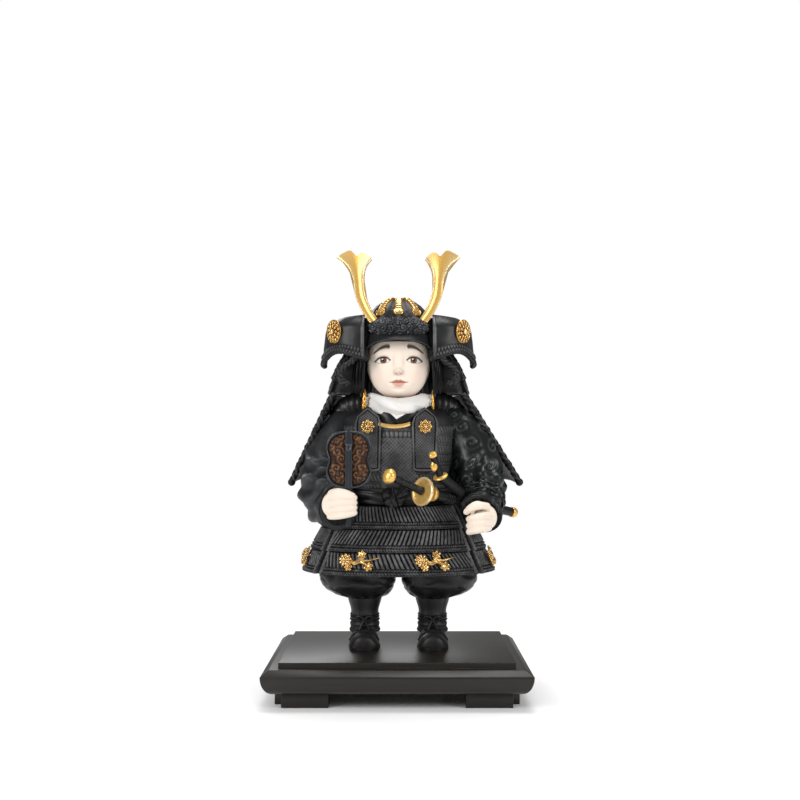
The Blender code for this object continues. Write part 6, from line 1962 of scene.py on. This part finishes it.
def make_fan_panel():
    bm = bmesh.new()

    def outer(u, v):
        x, z = (v * share for share in fan_outline(2 * math.pi * u, 2.9))
        relief = scroll_field(x, z) if v < 0.97 else 0.0
        return Vector((FAN_X + x, FAN_Y - 2.5 - 1.3 * relief, FAN_Z + z)), relief

    def inner(u, v):
        x, z = fan_outline(2 * math.pi * u, 2.9)
        return Vector((FAN_X + x * v, FAN_Y - 0.6, FAN_Z + z * v)), 0.1

    face, back = lay(bm, 220, 60, outer), lay(bm, 220, 2, inner)
    join_rows(bm, 220, (face, 60), (back, 2))
    close(bm)
    return adopt(keep(bm, "carved_panel", CARVED, smooth=60), "lacquer", "fan_panel")


def make_fan_rib():
    bm = bmesh.new()
    top, low = FAN_HALF[1] + 2.4, -FAN_HALF[1]

    def place(u, v):
        z = low + (top - low) * v
        half = 3.3 if z < FAN_HALF[1] - 4 else 3.3 * max(0.12, (top - z) / 6.4) ** 0.6
        half += 0.5 * math.exp(-((z + FAN_HALF[1] - 1) / 2) ** 2)
        turn = 2 * math.pi * u
        square = (abs(math.sin(turn)) ** 4 + abs(math.cos(turn)) ** 4) ** -0.25
        ring = 0.9 * math.exp(-((math.hypot(half * math.sin(turn) * square, z - 11.5) - 2.4) / 0.7) ** 2)
        front = math.cos(turn) > 0
        seam = -0.35 if front and abs(math.sin(turn) * square) < 0.12 and z < 7 else 0.0
        return (Vector((FAN_X + half * math.sin(turn) * square,
                        FAN_Y - 5.3 - 1.1 * math.cos(turn) * square - (ring + seam if front else 0), FAN_Z + z)),
                0.5 + ring * 0.5)

    wrap(bm, 48, 110, place)
    return adopt(keep(bm, "fan_stem", FAN_STEEL, smooth=50), "steel", "fan_rib")


def make_fan_handle():
    bm = bmesh.new()
    low = FAN_Z - FAN_HALF[1]
    widths = ((36.0, 2.5), (20.0, 2.6), (8.0, 2.5), (3.0, 3.4), (0.4, 3.0))
    rows = [(FAN_X, FAN_Y - 2.0, low - down, radius) for down, radius in widths]
    tube(bm, curve_through(rows, 10), 24, twist(3, 7, 0.3))
    return adopt(keep(bm, "fan_grip", FAN_STEEL, smooth=50), "steel", "fan_handle")


make_fan_frame()
make_fan_panel()
make_fan_rib()
make_fan_handle()
print("fan pieces: 4")


# %% [markdown]
# Nearly every piece of a sword is turned: a row of distances along a line, with the radius at each.
# `lathe` makes such a piece. Hilts get two bands that wind in opposite ways, and pommels get lobes.


# %% Turned pieces on a line
def turned(bm, start, heading, rows, sides, relief=None):
    """A turned form: each row holds a distance along the line and a radius."""
    ahead = Vector(heading).normalized()
    tube(bm, [(*(start + ahead * far), radius) for far, radius in rows], sides, relief)


def lathe(name, finish, slot, node, line, rows, sides, relief=None, steps=0, smooth=50):
    """A turned piece on a line, which is its start and its heading. Steps make its rows a smooth curve."""
    bm = bmesh.new()
    turned(bm, *line, curve_through(rows, steps) if steps else rows, sides, relief)
    return adopt(keep(bm, name, finish, smooth=smooth), slot, node)


def hilt_wrap(turns, depth):
    """Two bands that wind round a hilt in opposite ways and cross."""
    def relief(u, v):
        first = abs(math.sin(math.pi * (u + turns * v))) ** 0.6
        second = abs(math.sin(math.pi * (u - turns * v))) ** 0.6
        return depth * (max(first, second) - 0.6)
    return relief


LONG_START = Vector((24.0, -65.0, WAIST + 11.0))
LONG_BACK, LONG_AHEAD = (LONG_START, (-31, -20, 15)), (LONG_START, (90, 78, -24))
SHORT_START = Vector((41.0, -59.0, WAIST + 25.0))
SHORT_BACK, SHORT_AHEAD = (SHORT_START, (-8, -9, 22)), (SHORT_START, (20, 15, -16))
print("hilts start", round((LONG_START - SHORT_START).length, 1), "mm apart")


# %% The long sword
def make_guard(ahead, across, rise):
    """The round guard: a flat plate with a soft rim and eight petals."""
    bm = bmesh.new()
    rows = ((-0.7, 3.8), (-0.7, 10.5), (-1.1, 11.3), (-1.7, 12.2), (-1.5, 13.6), (0.0, 14.1), (1.5, 13.6),
            (1.7, 12.2), (1.1, 11.3), (0.7, 10.5), (0.7, 3.8))

    def place(u, v):
        far, radius = rows[round(v * (len(rows) - 1))]
        turn = 2 * math.pi * u
        petal = 0.3 * math.cos(turn * 8) if 5 < radius < 11 else 0.0
        return (on_ring(LONG_START + ahead * far, across, rise, radius, radius, turn),
                0.9 if radius > 11.5 else 0.35 + petal)

    wrap(bm, 96, len(rows) - 1, place)
    return adopt(keep(bm, "round_guard", SATIN_GILT, smooth=50), "gilt", "long_sword_guard")


def make_scabbard(ahead, across, rise):
    """The long scabbard with five rings of cord."""
    bm = bmesh.new()
    rows = curve_through(((16.0, 5.2), (40, 5.1), (80, 4.9), (110, 4.6), (122, 4.5)), 20)
    turned(bm, *LONG_AHEAD, rows, 28, lambda u, v: 0.25 * abs(math.sin(160 * v)) if v < 0.25 else 0.0)
    for far in (31.0, 34.0, 37.0, 52.0, 55.0):
        middle = LONG_START + ahead * far
        ring = [(*on_ring(middle, across, rise, 5.5, 5.5, 2 * math.pi * step / 32), 1.1) for step in range(33)]
        tube(bm, ring, 8, twist(2, 10, 0.4))
    return adopt(keep(bm, "long_scabbard", SCABBARD, smooth=60, merge=False), "leather", "long_sword_scabbard")


ahead = Vector(LONG_AHEAD[1]).normalized()
across = ahead.orthogonal().normalized()
rise = ahead.cross(across)
lathe("wrapped_hilt", CLOTH, "cloth_black", "long_sword_hilt", LONG_BACK,
      ((1.6, 4.0), (5, 3.7), (18, 3.3), (30, 3.4), (36.8, 3.6)), 28, hilt_wrap(6, 0.7), 14, 60)
lathe("lobed_pommel", SATIN_GILT, "gilt", "long_sword_pommel", LONG_BACK,
      ((35.4, 3.6), (36.4, 5.4), (38.4, 6.8), (40.6, 7.1), (42.8, 6.4), (44.4, 4.6), (45.4, 2.4), (45.8, 0.4)), 60,
      lambda u, v: 0.55 * (abs(math.cos(math.pi * u * 6)) - 0.5) * math.sin(math.pi * v), 6, 85)
make_guard(ahead, across, rise)
lathe("scabbard_collar", SATIN_GILT, "gilt", "long_sword_collar", LONG_AHEAD,
      ((1.6, 4.8), (9.4, 4.8), (10.0, 5.6), (10.6, 7.0), (12.2, 7.4), (13.8, 7.0), (15.4, 6.0)), 32,
      lambda u, v: 0.25 * math.cos(2 * math.pi * u * 8) if v < 0.3 else 0.0)
make_scabbard(ahead, across, rise)
lathe("scabbard_tip", SATIN_GILT, "gilt", "long_sword_tip", LONG_AHEAD,
      ((122.4, 4.8), (123.6, 5.3), (127, 5.1), (129.4, 3.6), (130, 0.8)), 28, None, 6)
print("long sword pieces: 6")


# %% The short sword
def make_small_pommel():
    """A lobed cap with a gilt mount on the side of the hilt."""
    bm = bmesh.new()
    rows = curve_through(((21.3, 3.0), (22.4, 4.0), (24.4, 4.1), (26.0, 2.6), (26.4, 0.5)), 8)
    turned(bm, *SHORT_BACK, rows, 32, lambda u, v: 0.35 * math.cos(2 * math.pi * u * 4) * math.sin(math.pi * v))
    spot = SHORT_START + Vector(SHORT_BACK[1]).normalized() * 11.5
    for vert in bmesh.ops.create_uvsphere(bm, u_segments=16, v_segments=10, radius=3.0)["verts"]:
        vert.co = spot + Vector((vert.co.x * 1.1 - 2.6, vert.co.y * 0.7 - 2.4, vert.co.z * 1.7))
    return adopt(keep(bm, "small_pommel", SATIN_GILT, smooth=50, merge=False), "gilt", "short_sword_pommel")


lathe("small_guard", SATIN_GILT, "gilt", "short_sword_guard", SHORT_BACK,
      ((-1.5, 2.0), (-1.3, 5.2), (-0.8, 7.0), (0.0, 7.4), (0.8, 7.0), (1.3, 5.2), (1.5, 2.0)), 40)
lathe("small_hilt", CLOTH, "cloth_black", "short_sword_hilt", SHORT_BACK,
      ((1.5, 3.3), (6, 3.0), (12, 2.9), (20.9, 3.1)), 24, hilt_wrap(4, 0.6), 14, 60)
make_small_pommel()
lathe("small_scabbard", SCABBARD, "leather", "short_sword_scabbard", SHORT_AHEAD,
      ((1.6, 4.7), (8, 4.8), (20, 4.7), (30.9, 4.5)), 28, None, 12, 60)
print("short sword pieces: 4")

# %% [markdown]
# ## Chin cords
# The two ends of the chin cord hang beside the face. One is a thick twisted end, the other a thin one.


# %% Chin cords
def make_chin_cord(side, label, radius):
    bm = bmesh.new()
    node = "chin_cord_" + label
    x = span(node, "left", "right")[1]
    top, low = edge(node, "top"), edge(node, "bottom")
    front = edge(node, "front") + radius + 0.2
    rows = ((x, front + 3.6, top - 0.2, radius * 0.8), (x - side * 0.4, front + 1.6, top - 5, radius),
            (x, front + 0.4, low + 7, radius * 1.2), (x, front, low + 2.5, radius * 1.3),
            (x, front, low + 0.2, radius * 0.3))
    tube(bm, curve_through(rows, 12), 20, twist(3, 5, radius * 0.28))
    return adopt(keep(bm, "twisted_cord_" + label, GILT, smooth=60), "gilt", node)


make_chin_cord(-1, "left", 1.7)
make_chin_cord(1, "right", 1.0)
print("chin cords: 2")
